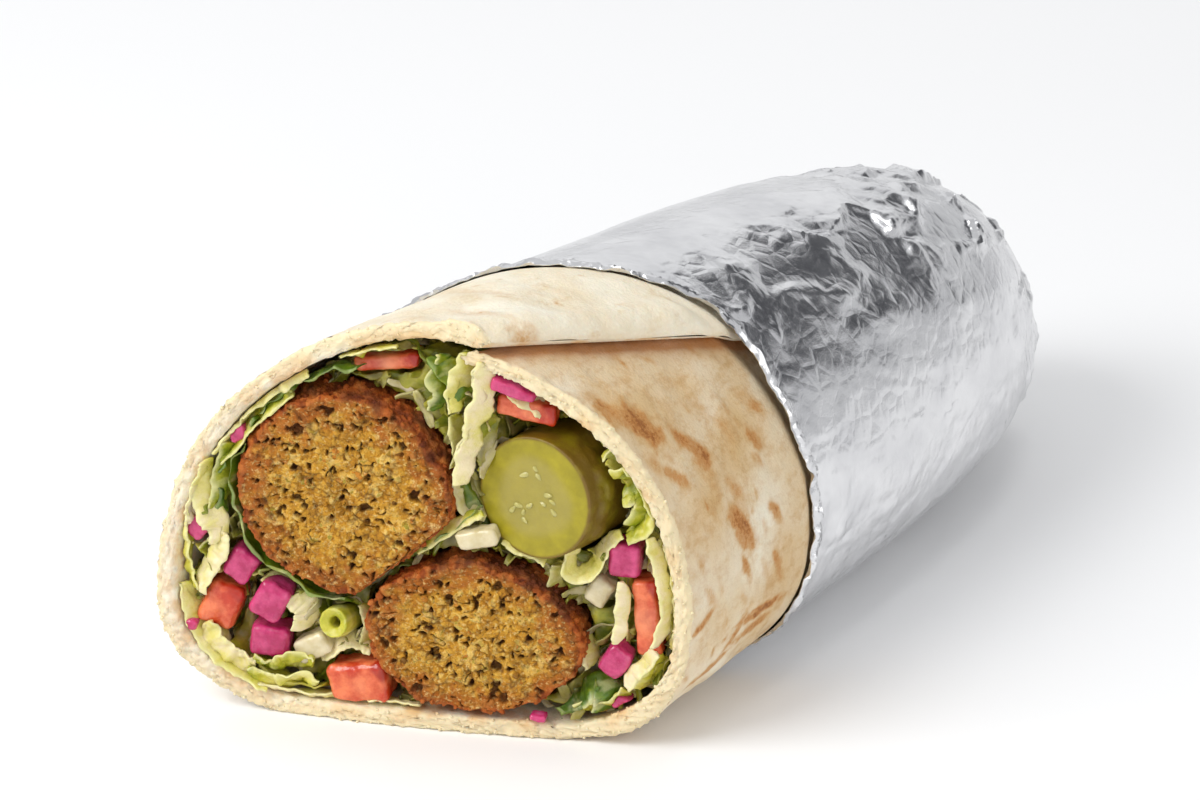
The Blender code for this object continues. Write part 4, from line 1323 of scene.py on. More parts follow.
@dataclass
class FriedBall:
    """A fried chickpea ball, cut open in front. Its sizes are in millimetres."""

    name: str
    place: tuple[float, float, float]
    radii: tuple[float, float, float]
    cut: float
    # the direction in which another piece bears on it, and how far out that piece lies
    pressed: tuple[tuple[float, float, float], float] | None
    seed: int
    blunt: float = 2.5
    grain: float = 1.45
    fine_grain: float = 0.8
    face_rows: int = 112
    side_rows: int = 70
    columns: int = 470

    def form(self) -> tuple[Array, Array, Array]:
        """The ball's even form about its centre.

        Returns:
            Its points, the outward direction at each, and how far each is outside the cut face.
        """
        face = self.cut / self.radii[1]
        rim = (1 - face**self.blunt) ** (1 / self.blunt)
        share = np.linspace(0, 1, self.face_rows)
        start = -math.asin(min(face ** (self.blunt / 2), 1.0))
        rise = start + (QUARTER_TURN - start) * np.linspace(0, 1, self.side_rows + 1)[1:] ** 1.5
        power = 2 / self.blunt
        radius = np.concatenate([rim * share, np.cos(rise).clip(0) ** power])
        side = np.sign(rise) * np.abs(np.sin(rise)) ** power
        depth = np.concatenate([np.full(self.face_rows, -face), side])
        turn = np.linspace(0, FULL_TURN, self.columns, endpoint=False)
        across, upright = radius[:, None] * np.cos(turn), radius[:, None] * np.sin(turn)
        points = np.stack(np.broadcast_arrays(across, depth[:, None], upright), -1) * self.radii
        out = points / np.linalg.norm(points, axis=-1, keepdims=True).clip(1e-6)
        on_face = np.arange(len(radius)) < self.face_rows
        outside = np.where(on_face, radius / rim - 1, 1.0)[:, None] * np.ones(self.columns)
        return points, out, outside

    def lumpy(self, points: Array, out: Array, outside: Array, here: Array) -> Array:
        """The even form with its crags, pressed flat where another piece bears on it.

        Args:
            points: the even form's points.
            out: the outward direction at each.
            outside: how far each is outside the cut face.
            here: where each reads its noise.

        Returns:
            The points, moved.
        """
        crag = 0.7 * fractal(here, 8.0, self.seed, 3) + 0.35 * fractal(here, 2.6, self.seed + 5, 3)
        share = np.where(outside <= 0, (1 + outside) ** 3, 1.0)
        points = points + out * share[..., None] * crag[..., None]
        if self.pressed:
            toward = np.array(self.pressed[0]) / np.linalg.norm(self.pressed[0])
            over = np.maximum(points @ toward - self.pressed[1], 0)
            points = points - toward * (over * 0.93)[..., None]
        return points

    def grains(self, here: Array, outside: Array) -> tuple[Array, dict[str, Array]]:
        """The ground chickpea's grains, pits and cracks.

        Args:
            here: where each point reads its noise.
            outside: how far each is outside the cut face.

        Returns:
            Their relief, and the fields that the finish reads.
        """
        spot = here + 0.35 * wander(here, 1.6, self.seed + 20)
        near, second, tag = nearest_cells(spot, self.grain, self.seed + 31)
        fine, fine_next, fine_tag = nearest_cells(spot, self.fine_grain, self.seed + 37)
        seam = fade(np.sqrt(second) - np.sqrt(near), 0.3, 0.3)
        fine_seam = fade(np.sqrt(fine_next) - np.sqrt(fine), 0.28, 0.28)
        missing = fade(tag, 0.03, 0.02) * fade(near, 0.6, 0.3)
        missing = missing + fade(fine_tag, 0.1, 0.03) * (1 - fine_seam)
        hole = ramp(fractal(spot, 2.6, self.seed + 61, 4), 0.68, 0.12)
        crack = smooth(1 - np.abs(soft_noise(spot * [1, 1, 1.7], 2.8, self.seed + 71)) / 0.07)
        crack = crack * ramp(soft_noise(here, 3.6, self.seed + 73), 0.22, 0.2)
        loose = ramp(fractal(here, 4.0, self.seed + 43, 3), -0.45, 0.7)
        ragged = fractal(here, 2.4, self.seed + 47, 3)
        rim = smooth((outside + 0.05 + 0.05 * ragged) / 0.06)
        near_rim = smooth((outside + 0.4 + 0.22 * ragged) / 0.36)
        crust = np.where(outside <= 0, 0.9 * rim, 1.0)
        inside = 1 - crust
        hollow = np.clip(missing + hole + 0.8 * crack, 0, 1) * (0.3 + 0.7 * inside)
        # each grain is a low dome, so that no flat chips or straight joints show
        dome, fine_dome = (np.sqrt(np.clip(1 - away / 0.62, 0, 1)) for away in (near, fine))
        lumps = (0.5 * tag + 0.22) * dome + (0.24 * fine_tag + 0.1) * fine_dome
        relief = lumps * (0.5 + 0.5 * loose) - 0.95 * hollow
        relief = relief + 0.08 * fractal(here, 0.7, self.seed + 79, 2)
        broken = smooth(0.5 + 1.2 * soft_noise(here, 1.1, self.seed + 83))
        gaps = np.clip(0.75 * seam + 0.3 * fine_seam, 0, 1) * loose * broken
        return relief, {
            "crust": crust,
            "baked": near_rim,
            # pit: painted shade in the pits, cracks and gaps between grains, which the relief also
            # carves
            "pit": np.clip(0.8 * hollow + 0.72 * gaps * (0.4 + 0.6 * inside), 0, 1),
            "grain": np.clip(0.55 * tag + 0.45 * fine_tag, 0, 1),
            "strewn": 0.6 * crust + 0.4 * inside,
        }

    def build(self, finish: Material) -> Piece:
        """Builds the ball and the crumbs strewn over it.

        Args:
            finish: the material that covers them.

        Returns:
            The ball.
        """
        points, out, outside = self.form()
        here = points + 60.0 * self.seed
        points = self.lumpy(points, out, outside, here)
        relief, fields = self.grains(here, outside)
        cut = np.stack([points[..., 0], -self.cut - relief, points[..., 2]], -1)
        rough = (0.75 * relief + 0.1 * fractal(here, 1.2, self.seed + 67, 2))[..., None] * out
        points = np.where((outside <= 0)[..., None], cut, points + rough)
        points[0], points[-1] = points[0].mean(0), points[-1].mean(0)
        # the crust is darker towards its upper right, in patches
        upper = points @ np.array([0.5, 0.15, 0.85]) / np.linalg.norm(points, axis=-1).clip(1e-6)
        burnt = smooth((0.8 * fractal(here, 4.0, self.seed + 53, 4) + upper - 0.45) / 0.8)
        fields["burnt"] = burnt * 0.8
        across, up, behind = self.place
        placed = FORM.on_cut(points[..., 0] + across, points[..., 2] + up, points[..., 1] + behind)
        mesh = mesh_from_grid(self.name + "_ball", placed, fields)
        ball = dress(new_object(self.name + "_ball", mesh), finish, "falafel", self.name)
        Scatter(
            self.name + "_crumbs", Bit.CRUMB, spacing=1.1 * MM, density=500000.0,
            sizes=(0.5 * MM, 1.2 * MM), seed=self.seed, sink=-0.1 * MM,
        ).strew(mesh, "strewn", finish, "falafel")
        return ball


@dataclass
class Cucumber:
    """A pickled cucumber: its skin warty, its cut face glassy round a seeded core."""

    radius: float = 9.4 * MM
    length: float = 44 * MM
    straight: float = 0.72
    edge: float = 0.25 * MM
    front: tuple[float, float, float] = (15.2 * MM, 7.3 * MM, 39.3 * MM)
    way: tuple[float, float, float] = (0.0, 1.0, -0.07)
    columns: int = 240
    askew: float = 0.09
    wart_gap: float = 4.2 * MM

    def axes(self) -> tuple[Array, Array, Array]:
        """Its length's direction and two across it."""
        way = np.array(self.way) / np.linalg.norm(self.way)
        side = np.array([1.0, 0.0, 0.0])
        return way, side, np.cross(side, way)

    def profile(self) -> tuple[Array, Array]:
        """Its rings, from the middle of the cut face to the far end.

        Returns:
            Each ring's radius and its distance behind the face, and which rings are on the face.
        """
        straight = self.straight * self.length
        face = [(r, 0.0) for r in np.linspace(0, self.radius - self.edge, 60)]
        bend = [
            (self.radius - self.edge * (1 - math.sin(t)), self.edge * (1 - math.cos(t)))
            for t in np.linspace(0, QUARTER_TURN, 7)[1:]]
        body = [
            (self.radius * (1 + 0.02 * math.sin(math.pi * y / straight)), y)
            for y in np.linspace(self.edge, straight, 80)[1:]]
        cap = [
            (self.radius * math.cos(t), straight + (self.length - straight) * math.sin(t))
            for t in np.linspace(0, QUARTER_TURN, 16)[1:]]
        rings = np.array(face + bend + body + cap)
        return rings, (np.arange(len(rings)) < len(face))[:, None]

    def build(self, finish: Material, seeds: Material) -> Piece:
        """Builds the cucumber with its seeds.

        Args:
            finish: the material of its flesh and skin.
            seeds: that of its seeds.

        Returns:
            The cucumber.
        """
        rings, on_face = self.profile()
        turn = np.linspace(0, FULL_TURN, self.columns, endpoint=False)
        way, side, up = self.axes()
        out = np.cos(turn)[:, None] * side + np.sin(turn)[:, None] * up
        behind = rings[:, 1:, None]
        even = out[None] * rings[:, :1, None] + way * behind
        lobes = 0.5 + 0.5 * np.cos(3 * turn + 0.6)[None]
        middle = rings[:, :1] / self.radius
        skin = np.where(on_face, ramp(middle, 0.93, 0.05), 1.0) * np.ones_like(turn)
        core = fade(middle, 0.72 + 0.08 * lobes, 0.22) * on_face
        wart = smooth(1 - nearest_cells(even, self.wart_gap, 91)[0] * 4.5) * 0.35
        skin_relief = (wart + 0.3 * fractal(even, 7 * MM, 97, 3)) * MM
        skin_relief = skin_relief * ramp(behind[..., 0], 0.6 * MM, 3 * MM)
        face_relief = 0.22 * (1 - middle**2) + 0.07 * fractal(even, 1.6 * MM, 101, 3) * core
        face_relief = face_relief * MM * on_face
        points = even + out[None] * skin_relief[..., None] - way * face_relief[..., None]
        # the knife went through a little askew, so the slice faces right
        points = points + way * (self.askew * points[..., :1] * smooth(1 - behind / (12 * MM)))
        points[0], points[-1] = points[0].mean(0), points[-1].mean(0)
        points = FORM.in_frame(points + np.array(self.front))
        seeded = bell(middle, 0.36, 0.12) * (lobes > 0.35) * on_face
        fields = {"skin": skin, "core": core * 0.65, "seeded": seeded}
        mesh = mesh_from_grid("cucumber_pickle", points, fields)
        piece = dress(new_object("cucumber_pickle", mesh), finish, "pickle", "pickled_cucumber")
        Scatter(
            "pickle_seeds", Bit.SEED, spacing=1.1 * MM, density=900000.0,
            sizes=(1.2 * MM, 1.9 * MM), seed=4, sink=-0.12 * MM, flat=True,
        ).strew(mesh, "seeded", seeds, "pickle")
        return piece


class Bit(Enum):
    """Kinds of small bit that Geometry Nodes strew."""

    CRUMB = "crumb"
    SHRED = "shred"
    SEED = "seed"


@dataclass
class Bits:
    """A few shapes of one kind of small bit, for the scatter to pick from and then removed."""

    kind: Bit
    seed: int
    count: int = 5

    def crumb(self, random: np.random.Generator) -> BMesh:
        """A broken, lumpy crumb one unit across.

        Args:
            random: where its unevenness is drawn from.

        Returns:
            Its mesh.
        """
        bm = bmesh.new()
        bmesh.ops.create_icosphere(bm, subdivisions=2, radius=0.5)
        for vert in bm.verts:
            vert.co *= 1 + random.uniform(-0.22, 0.22)
            vert.co.z *= 0.75
        return bm

    def shred(self, random: np.random.Generator) -> BMesh:
        """A curled strip of leaf, one unit long.

        Args:
            random: where its curl and sway are drawn from.

        Returns:
            Its mesh.
        """
        bm = bmesh.new()
        steps, bend = 12, random.uniform(0.4, 1.5)
        sway, start = random.uniform(0.05, 0.14), random.uniform(0, 6.28)
        rows = []
        for i in range(steps + 1):
            t = i / steps - 0.5
            heading = bend * t
            centre = Vector((math.sin(heading) / bend, 0.0, (1 - math.cos(heading)) / bend))
            width = 0.11 * (1 - 0.5 * abs(2 * t) ** 3)
            twist = 0.5 * math.sin(3 * t + start)
            across = Vector((0, math.cos(twist), math.sin(twist)))
            ripple = Vector((0, 0, sway * math.sin(9 * t + start)))
            rows.append([
                bm.verts.new(centre + ripple * abs(s) + across * width * s)
                for s in (-1, -0.3, 0.4, 1)])
        for near, far in zip(rows, rows[1:]):
            for k in range(3):
                bm.faces.new((near[k], near[k + 1], far[k + 1], far[k]))
        return bm

    def pip(self, _: np.random.Generator) -> BMesh:
        """A flat, pointed seed one unit long, always the same.

        Returns:
            Its mesh.
        """
        bm = bmesh.new()
        bmesh.ops.create_uvsphere(bm, u_segments=10, v_segments=6, radius=0.5)
        for vert in bm.verts:
            vert.co = Vector((vert.co.x, vert.co.y * 0.5 * (1 - 0.7 * vert.co.x), vert.co.z * 0.3))
        return bm

    def collection(self) -> bpy.types.Collection:
        """Makes the shapes.

        Returns:
            A collection of their own that holds them.
        """
        makers = {Bit.CRUMB: self.crumb, Bit.SHRED: self.shred, Bit.SEED: self.pip}
        random = np.random.default_rng(self.seed)
        made = bpy.data.collections.new(self.kind.value + "_shapes")
        for number in range(self.count):
            bm = makers[self.kind](random)
            mesh = bpy.data.meshes.new(f"{self.kind.value}_{number}")
            bm.to_mesh(mesh)
            bm.free()
            shape = bpy.data.objects.new(mesh.name, mesh)
            if self.kind is Bit.SHRED:
                wall = shape.modifiers.new("wall", "SOLIDIFY")
                wall.thickness, wall.offset = 0.035, 0.0
            made.objects.link(shape)
        return made


@dataclass
class Scatter:
    """Strews small bits over a surface with Geometry Nodes, and leaves them as one plain mesh."""

    name: str
    kind: Bit
    spacing: float
    density: float
    sizes: tuple[float, float]
    seed: int
    sink: float = 0.0
    flat: bool = False
    tones: tuple[float, float] = (0.0, 0.4)
    rock: float = 0.35

    def tree(self) -> NodeTree:
        """Builds the node tree.

        Returns:
            The tree, with named inputs for its sizes.
        """
        tree = bpy.data.node_groups.new("strewn " + self.kind.value, "GeometryNodeTree")
        inputs = (
            ("Geometry", "Geometry"), ("Shapes", "Collection"), ("Finish", "Material"),
            ("Field", "String"), ("Spacing", "Float"), ("Density", "Float"), ("Smallest", "Float"),
            ("Largest", "Float"), ("Sink", "Float"), ("Seed", "Int"))
        for label, kind in inputs:
            tree.interface.new_socket(label, in_out="INPUT", socket_type="NodeSocket" + kind)
        tree.interface.new_socket("Geometry", in_out="OUTPUT", socket_type="NodeSocketGeometry")
        given = add_node(tree, "NodeGroupInput").outputs
        seeded = {"Seed": given["Seed"]}
        weight = add_node(
            tree, "GeometryNodeInputNamedAttribute", {"data_type": "FLOAT"},
            {"Name": given["Field"]})
        spots = add_node(
            tree, "GeometryNodeDistributePointsOnFaces", {"distribute_method": "POISSON"}, {
                "Mesh": given["Geometry"], "Distance Min": given["Spacing"],
                "Density Max": given["Density"], "Density Factor": weight.outputs["Attribute"],
                **seeded})
        shapes = add_node(
            tree, "GeometryNodeCollectionInfo", {"Separate Children": True, "Reset Children": True},
            {"Collection": given["Shapes"]})
        size = add_node(
            tree, "FunctionNodeRandomValue", {"data_type": "FLOAT"},
            {"Min": given["Smallest"], "Max": given["Largest"], **seeded})
        reach = (self.rock, self.rock, math.pi) if self.flat else (math.pi,) * 3
        spin = add_node(
            tree, "FunctionNodeRandomValue",
            {"data_type": "FLOAT_VECTOR", 0: tuple(-turn for turn in reach), 1: reach}, seeded)
        turned = add_node(tree, "FunctionNodeRotateRotation", {"rotation_space": "LOCAL"}, {
            "Rotation": spots.outputs["Rotation"], "Rotate By": spin.outputs["Value"]})
        placed = add_node(tree, "GeometryNodeInstanceOnPoints", {"Pick Instance": True}, {
            "Points": spots.outputs["Points"], "Instance": shapes.outputs[0],
            "Rotation": turned.outputs[0], "Scale": size.outputs[1]})
        down = add_node(tree, "ShaderNodeCombineXYZ", None, {"Z": given["Sink"]})
        sunk = add_node(tree, "GeometryNodeTranslateInstances", {"Local Space": True}, {
            "Instances": placed.outputs[0], "Translation": down.outputs[0]})
        low, high = self.tones
        hue = add_node(
            tree, "FunctionNodeRandomValue", {"data_type": "FLOAT", 2: low, 3: high}, seeded)
        toned = add_node(
            tree, "GeometryNodeStoreNamedAttribute",
            {"data_type": "FLOAT", "domain": "INSTANCE", "Name": "tone"},
            {"Geometry": sunk.outputs[0], "Value": hue.outputs[1]})
        plain = add_node(tree, "GeometryNodeRealizeInstances", None, {"Geometry": toned.outputs[0]})
        coated = add_node(tree, "GeometryNodeSetMaterial", None, {
            "Geometry": plain.outputs[0], "Material": given["Finish"]})
        add_node(tree, "NodeGroupOutput", None, {"Geometry": coated.outputs[0]})
        return tree

    def strew(self, over: Mesh, weight: str, finish: Material, slot: str) -> Piece:
        """Strews the bits.

        Args:
            over: the mesh that they lie on.
            weight: the field of that mesh that says how thickly they lie, from 0 to 1.
            finish: the material that covers them.
            slot: the record's slot of that finish.

        Returns:
            The bits as one piece.
        """
        mesh = over.copy()
        mesh.materials.clear()
        piece = new_object(self.name, mesh)
        tree = self.tree()
        shapes = Bits(self.kind, self.seed).collection()
        modifier = piece.modifiers.new("strewn", "NODES")
        modifier.node_group = tree
        values = {
            "Shapes": shapes, "Finish": finish, "Field": weight, "Spacing": self.spacing,
            "Density": self.density, "Smallest": self.sizes[0], "Largest": self.sizes[1],
            "Sink": self.sink, "Seed": self.seed,
        }
        for socket in tree.interface.items_tree:
            if socket.in_out == "INPUT" and socket.name in values:
                modifier[socket.identifier] = values[socket.name]
        applied(piece).data.shade_smooth()
        for shape in list(shapes.objects):
            bpy.data.objects.remove(shape)
        bpy.data.collections.remove(shapes)
        return dress(piece, finish, slot)


@dataclass
class CutPieces:
    """Diced pieces: fine copies of their solids with softened, slightly uneven faces.

    `kind` begins their nodes' names and is the record's slot that they take their finish from.
    """

    kind: str
    voxel: float = 0.3 * MM
    rounding: int = 5
    uneven: float = 0.22 * MM

    def build(self, finish: Material) -> list[Piece]:
        """Builds every piece of the kind.

        Args:
            finish: the material that covers them.

        Returns:
            The pieces.
        """
        made = []
        for node in sorted(n for n in frame["nodes"] if n.startswith(self.kind)):
            piece = refined_copy(node + "_dice", node, self.voxel, self.rounding)
            mesh = piece.data
            points = points_of(mesh)
            bump = fractal(points, 3 * MM, 103, 3) + 0.3 * soft_noise(points, 0.8 * MM, 107)
            move_points(mesh, points + normals_of(mesh) * (self.uneven * bump)[:, None])
            middle = points.mean(0)
            away = np.linalg.norm(points - middle, axis=1)
            keep_field(mesh, "core", smooth(1.3 - 2 * away / away.max()) * 0.7)
            # one side of the dice still has its skin on
            outwards = (points - middle) @ np.array([0.8, -0.35, 0.49])
            keep_field(mesh, "skin", ramp(outwards - outwards.max(), -1.1 * MM, 0.5 * MM) * 0.85)
            made.append(dress(piece, finish, self.kind, node))
        return made


@dataclass
class Leaf:
    """A leaf at the cut: a fine copy of its solid, thinned and ruffled as one sheet."""

    node: str
    tone: float
    voxel: float = 0.22 * MM
    ruffle: float = 0.7 * MM
    thinned: float = 0.12 * MM

    def build(self, finish: Material) -> Piece:
        """Builds the leaf.

        Args:
            finish: the material that covers it.

        Returns:
            The leaf.
        """
        piece = refined_copy(self.node + "_blade", self.node, self.voxel, 4)
        mesh = piece.data
        points = points_of(mesh)
        seed = sum(map(ord, self.node))
        sway = wander(points, 2.6 * MM, seed, 1)
        move_points(mesh, points + self.ruffle * sway - self.thinned * normals_of(mesh))
        keep_field(mesh, "tone", self.tone + 0.12 * fractal(points, 5 * MM, seed, 3))
        behind = FORM.behind(points)
        keep_field(mesh, "rim", 0.2 * smooth(1 - (behind - behind.min()) / (0.4 * MM)))
        return dress(piece, finish, "lettuce_leaf", self.node)


@dataclass(frozen=True)
class Strand:
    """A strip of salad that shows at the cut.

    Its path runs over the cut (across, up), its depth is how far behind the cut its nearer edge
    lies, and its tilt is how far it is turned to face the cut; all in millimetres and degrees.
    """

    path: tuple[tuple[float, float], ...]
    depth: float
    width: float
    tilt: float
    tone: float
    frill: float = 0.6
    thick: float = 0.5


@dataclass
class ShreddedSalad:
    """Shredded lettuce and cabbage: the strips that show, over a fine copy of the solid core."""

    steps: int = 60
    lanes: int = 12
    under_bread: float = 0.55 * MM
    # each strip's path, depth, width, tilt, tone, frill and thickness
    strands: tuple[Strand, ...] = tuple(Strand(*sizes) for sizes in (
        # left, from the lip inwards
        (((-35.2, 41.2), (-36.0, 37.2), (-36.6, 33.2), (-37.2, 28.6), (-37.0, 23.4), (-36.2, 19.0)),
         0.3, 4.2, -34, 0.40, 0.7),
        (((-33.2, 42.0), (-33.8, 37.4), (-33.3, 33.6), (-31.6, 30.4), (-31.2, 27.4)),
         -0.2, 4.4, 62, 0.12, 0.8),
        (((-31.2, 29.0), (-31.6, 26.0), (-33.4, 23.2), (-35.2, 19.2)), 0.2, 3.4, -60, 0.08, 0.8),
        (((-29.2, 43.4), (-30.8, 39.4), (-31.0, 35.9), (-31.6, 32.6)), 0.7, 4.0, 40, 0.58),
        (((-20.2, 53.0), (-23.2, 49.7), (-26.2, 47.2), (-28.4, 44.0), (-31.3, 40.9)),
         0.2, 4.2, -26, 0.5, 0.7),
        (((-17.9, 57.2), (-22.7, 53.6), (-26.9, 50.3), (-30.3, 46.6), (-33.2, 42.8)),
         0.4, 4.6, -44, 0.2, 0.9),
        (((-34.9, 37.2), (-35.8, 33.6), (-35.4, 30.0)), 0.1, 3.4, 50, 0.02, 0.9),
        (((-35.9, 20.0), (-35.9, 16.0), (-34.0, 11.9), (-31.5, 8.0), (-28.6, 5.4), (-25.3, 3.5)),
         0.2, 4.6, 38, 0.24, 0.9),
        (((-34.2, 13.5), (-31.9, 10.2), (-29.4, 8.1), (-26.4, 7.2)), -0.2, 4.2, -58, 0.1, 1.0),
        (((-26.4, 8.3), (-23.4, 7.6), (-20.2, 8.7), (-17.5, 7.9)), -0.4, 4.6, -52, 0.52, 1.1),
        (((-27.6, 5.6), (-23.0, 4.9), (-19.4, 6.0), (-17.4, 4.6)), -0.1, 4.2, -56, 0.44, 1.1),
        (((-26.0, 3.6), (-19.8, 3.0), (-13.4, 2.8), (-7.2, 2.8), (-0.9, 3.0)),
         0.3, 3.6, -30, 0.14, 0.5),
        (((-16.8, 9.8), (-12.6, 12.2), (-8.6, 12.0)), 1.4, 4.6, 30, 0.08),
        (((-20.4, 19.2), (-18.4, 16.6), (-19.2, 13.3)), 0.6, 4.4, 48, 0.05, 0.7),
        (((-24.4, 22.0), (-22.0, 18.8), (-19.8, 17.6)), 1.6, 4.4, 30, 0.12),
        (((-9.6, 18.2), (-8.6, 14.6), (-9.0, 11.2)), 2.4, 4.6, 38, 0.2),
        (((-33.6, 30.4), (-32.6, 27.6), (-34.2, 25.2)), 1.2, 3.8, 20, 0.66),
        # top
        (((-12.4, 59.2), (-8.6, 60.6), (-3.6, 61.1)), 0.5, 3.2, -34, 0.3, 1.3),
        (((7.9, 62.0), (6.3, 58.6), (5.3, 55.0), (5.8, 52.1)), 0.0, 4.8, 52, 0.3, 1.0),
        (((3.8, 60.4), (2.4, 57.2), (3.0, 54.0), (1.6, 51.0)), 0.9, 4.6, 44, 0.72, 1.0),
        (((9.9, 60.4), (8.9, 54.4), (7.9, 49.4), (6.6, 44.8), (6.9, 40.8)),
         -0.2, 3.9, 58, 0.06, 1.1, 0.8),
        (((4.6, 50.6), (5.2, 46.4), (5.0, 42.4)), 1.5, 4.4, 30, 0.22),
        (((12.0, 57.6), (14.8, 54.2), (17.8, 52.2)), 2.2, 4.0, 30, 0.12),
        # middle
        (((-1.4, 29.2), (3.5, 32.8), (8.5, 36.2)), 0.6, 3.2, 40, 0.36, 0.3),
        (((12.3, 32.3), (14.8, 30.8), (18.6, 29.5)), 1.0, 4.0, 34, 0.28, 0.5),
        (((4.4, 39.6), (5.9, 36.4), (9.2, 35.0)), 2.2, 4.6, 36, 0.1),
        # right, from the pickle to the lip
        (((28.9, 43.0), (31.3, 44.2), (33.6, 43.0), (34.6, 39.4), (33.2, 36.2), (30.4, 35.0)),
         0.2, 4.4, -42, 0.42, 1.1),
        (((29.6, 40.6), (31.9, 41.3), (33.2, 38.8), (31.9, 35.8)), 0.9, 4.2, 46, 0.48, 0.9),
        (((27.4, 45.6), (29.6, 47.2), (31.8, 45.4), (33.2, 42.0)), 1.0, 4.4, -34, 0.5, 1.1),
        (((23.2, 32.4), (21.9, 29.5), (23.1, 27.3), (25.6, 28.8), (27.1, 32.3), (29.4, 35.1)),
         0.3, 3.6, 38, 0.2, 0.7),
        (((20.4, 27.4), (19.6, 23.8), (20.8, 20.6)), 2.2, 4.6, 34, 0.3),
        (((30.4, 27.2), (30.1, 22.5), (29.4, 17.0)), -0.2, 2.2, 60, 0.0, 0.4, 0.8),
        (((34.4, 34.6), (35.1, 31.1), (36.5, 26.4), (36.5, 21.5), (35.4, 16.8)),
         0.1, 3.0, 40, 0.1, 0.6, 0.6),
        (((36.2, 33.4), (37.6, 27.4), (37.7, 21.6), (36.7, 16.4)), 0.8, 4.2, -40, 0.22, 0.6),
        (((34.9, 16.2), (32.8, 13.2), (30.2, 10.1)), 0.0, 2.6, -50, 0.08, 0.5, 0.6),
        (((36.0, 15.2), (34.7, 11.9), (32.6, 9.0)), 0.6, 4.0, 40, 0.42, 0.9),
        (((30.9, 8.3), (27.0, 5.6), (22.8, 4.6)), 0.6, 4.2, 40, 0.5, 0.9),
        (((23.3, 7.0), (25.6, 8.7), (27.8, 7.4), (26.6, 4.6)), 0.3, 4.4, 44, 0.78, 0.8),
        (((22.2, 17.0), (24.6, 14.6), (25.2, 11.4)), 2.0, 4.4, 30, 0.24),
    ))

    def strip(self, strand: Strand, seed: int) -> tuple[Array, Array, Array]:
        """One ruffled strip along its path, in millimetres on the cut.

        Args:
            strand: the strip.
            seed: picks its ruffles.

        Returns:
            Its points, its tone and how near each point is to the cut edge.
        """
        path = np.array(strand.path, float)
        ends = np.vstack([2 * path[0] - path[1], path, 2 * path[-1] - path[-2]])
        place = np.linspace(0, len(path) - 1, self.steps)
        at = np.minimum(place.astype(int), len(path) - 2)
        t = (place - at)[:, None]
        a, b, c, d = (ends[at + k] for k in range(4))
        curve = (2 * a - 5 * b + 4 * c - d) * t**2 + (3 * b - a - 3 * c + d) * t**3
        line = 0.5 * (2 * b + (c - a) * t + curve)
        heading = np.gradient(line, axis=0)
        heading /= np.linalg.norm(heading, axis=1, keepdims=True)
        outwards = np.stack([-heading[:, 1], heading[:, 0]], 1)
        tilt = math.radians(strand.tilt)
        share = np.linspace(0, 1, self.lanes)
        lanes = np.broadcast_arrays(line[:, :1], line[:, 1:], strand.width * share[None])
        spot = np.stack(lanes, -1) + 31.0 * seed
        taper = 1 - 0.55 * np.abs(np.linspace(-1, 1, self.steps)) ** 4
        taper = taper * (1 + 0.3 * soft_noise(spot[:, 0], 5.0, 127))
        width = strand.width * taper[:, None] * share[None]
        frill = 0.75 * fractal(spot, 3.2, 131, 3) + 0.3 * soft_noise(spot, 1.3, 133)
        frill = strand.frill * frill
        middle = strand.width * 0.5 * abs(math.sin(tilt)) * math.copysign(1, tilt)
        side = width * math.sin(tilt) + frill - middle
        ragged = 0.7 * fractal(spot * [1, 1, 0], 2.0, 137, 3) * (1 - share)
        depth = strand.depth + width * math.cos(tilt) + ragged + 0.5 * frill
        across, up = line[:, :1] + outwards[:, :1] * side, line[:, 1:] + outwards[:, 1:] * side
        points = FORM.on_cut(across, up, depth)
        points = FORM.held_inside(points, FORM.bread + self.under_bread)
        tone = strand.tone + 0.16 * fractal(spot, 6.0, 139, 2) + 0.12 * (share - 0.4)
        rim = np.broadcast_to(0.7 * smooth(1 - share * 4), tone.shape)
        return points, np.clip(tone, 0, 1), rim

    def add_strip(self, bm: BMesh, grid: Array, thick: float, fields: dict[str, Array]) -> None:
        """Adds one strip as a closed skin, thickest along its middle.

        Args:
            bm: the mesh that it goes into.
            grid: the strip's points.
            thick: half of its thickness.
            fields: the values at each point, by the name of the mesh's layer.
        """
        out = np.cross(np.gradient(grid, axis=0), np.gradient(grid, axis=1))
        out /= np.linalg.norm(out, axis=-1, keepdims=True)
        share = np.linspace(0, 1, self.lanes)
        bulge = 0.35 + 0.65 * np.sqrt(np.clip(4 * share * (1 - share), 0, 1))
        wall = thick * bulge[None, :, None]
        ring = np.concatenate([grid + out * wall, (grid - out * wall)[:, ::-1]], 1)
        rows = [[bm.verts.new(point) for point in points] for points in ring]
        for label, values in fields.items():
            layer = bm.verts.layers.float[label]
            for verts, row in zip(rows, np.concatenate([values, values[:, ::-1]], 1)):
                for vert, value in zip(verts, row):
                    vert[layer] = float(value)
        count = 2 * self.lanes
        for near, far in zip(rows, rows[1:]):
            for k in range(count):
                after = (k + 1) % count
                bm.faces.new((near[k], near[after], far[after], far[k]))
        for verts in (rows[0][::-1], rows[-1]):
            for k in range(self.lanes - 1):
                bm.faces.new((verts[k], verts[k + 1], verts[count - 2 - k], verts[count - 1 - k]))

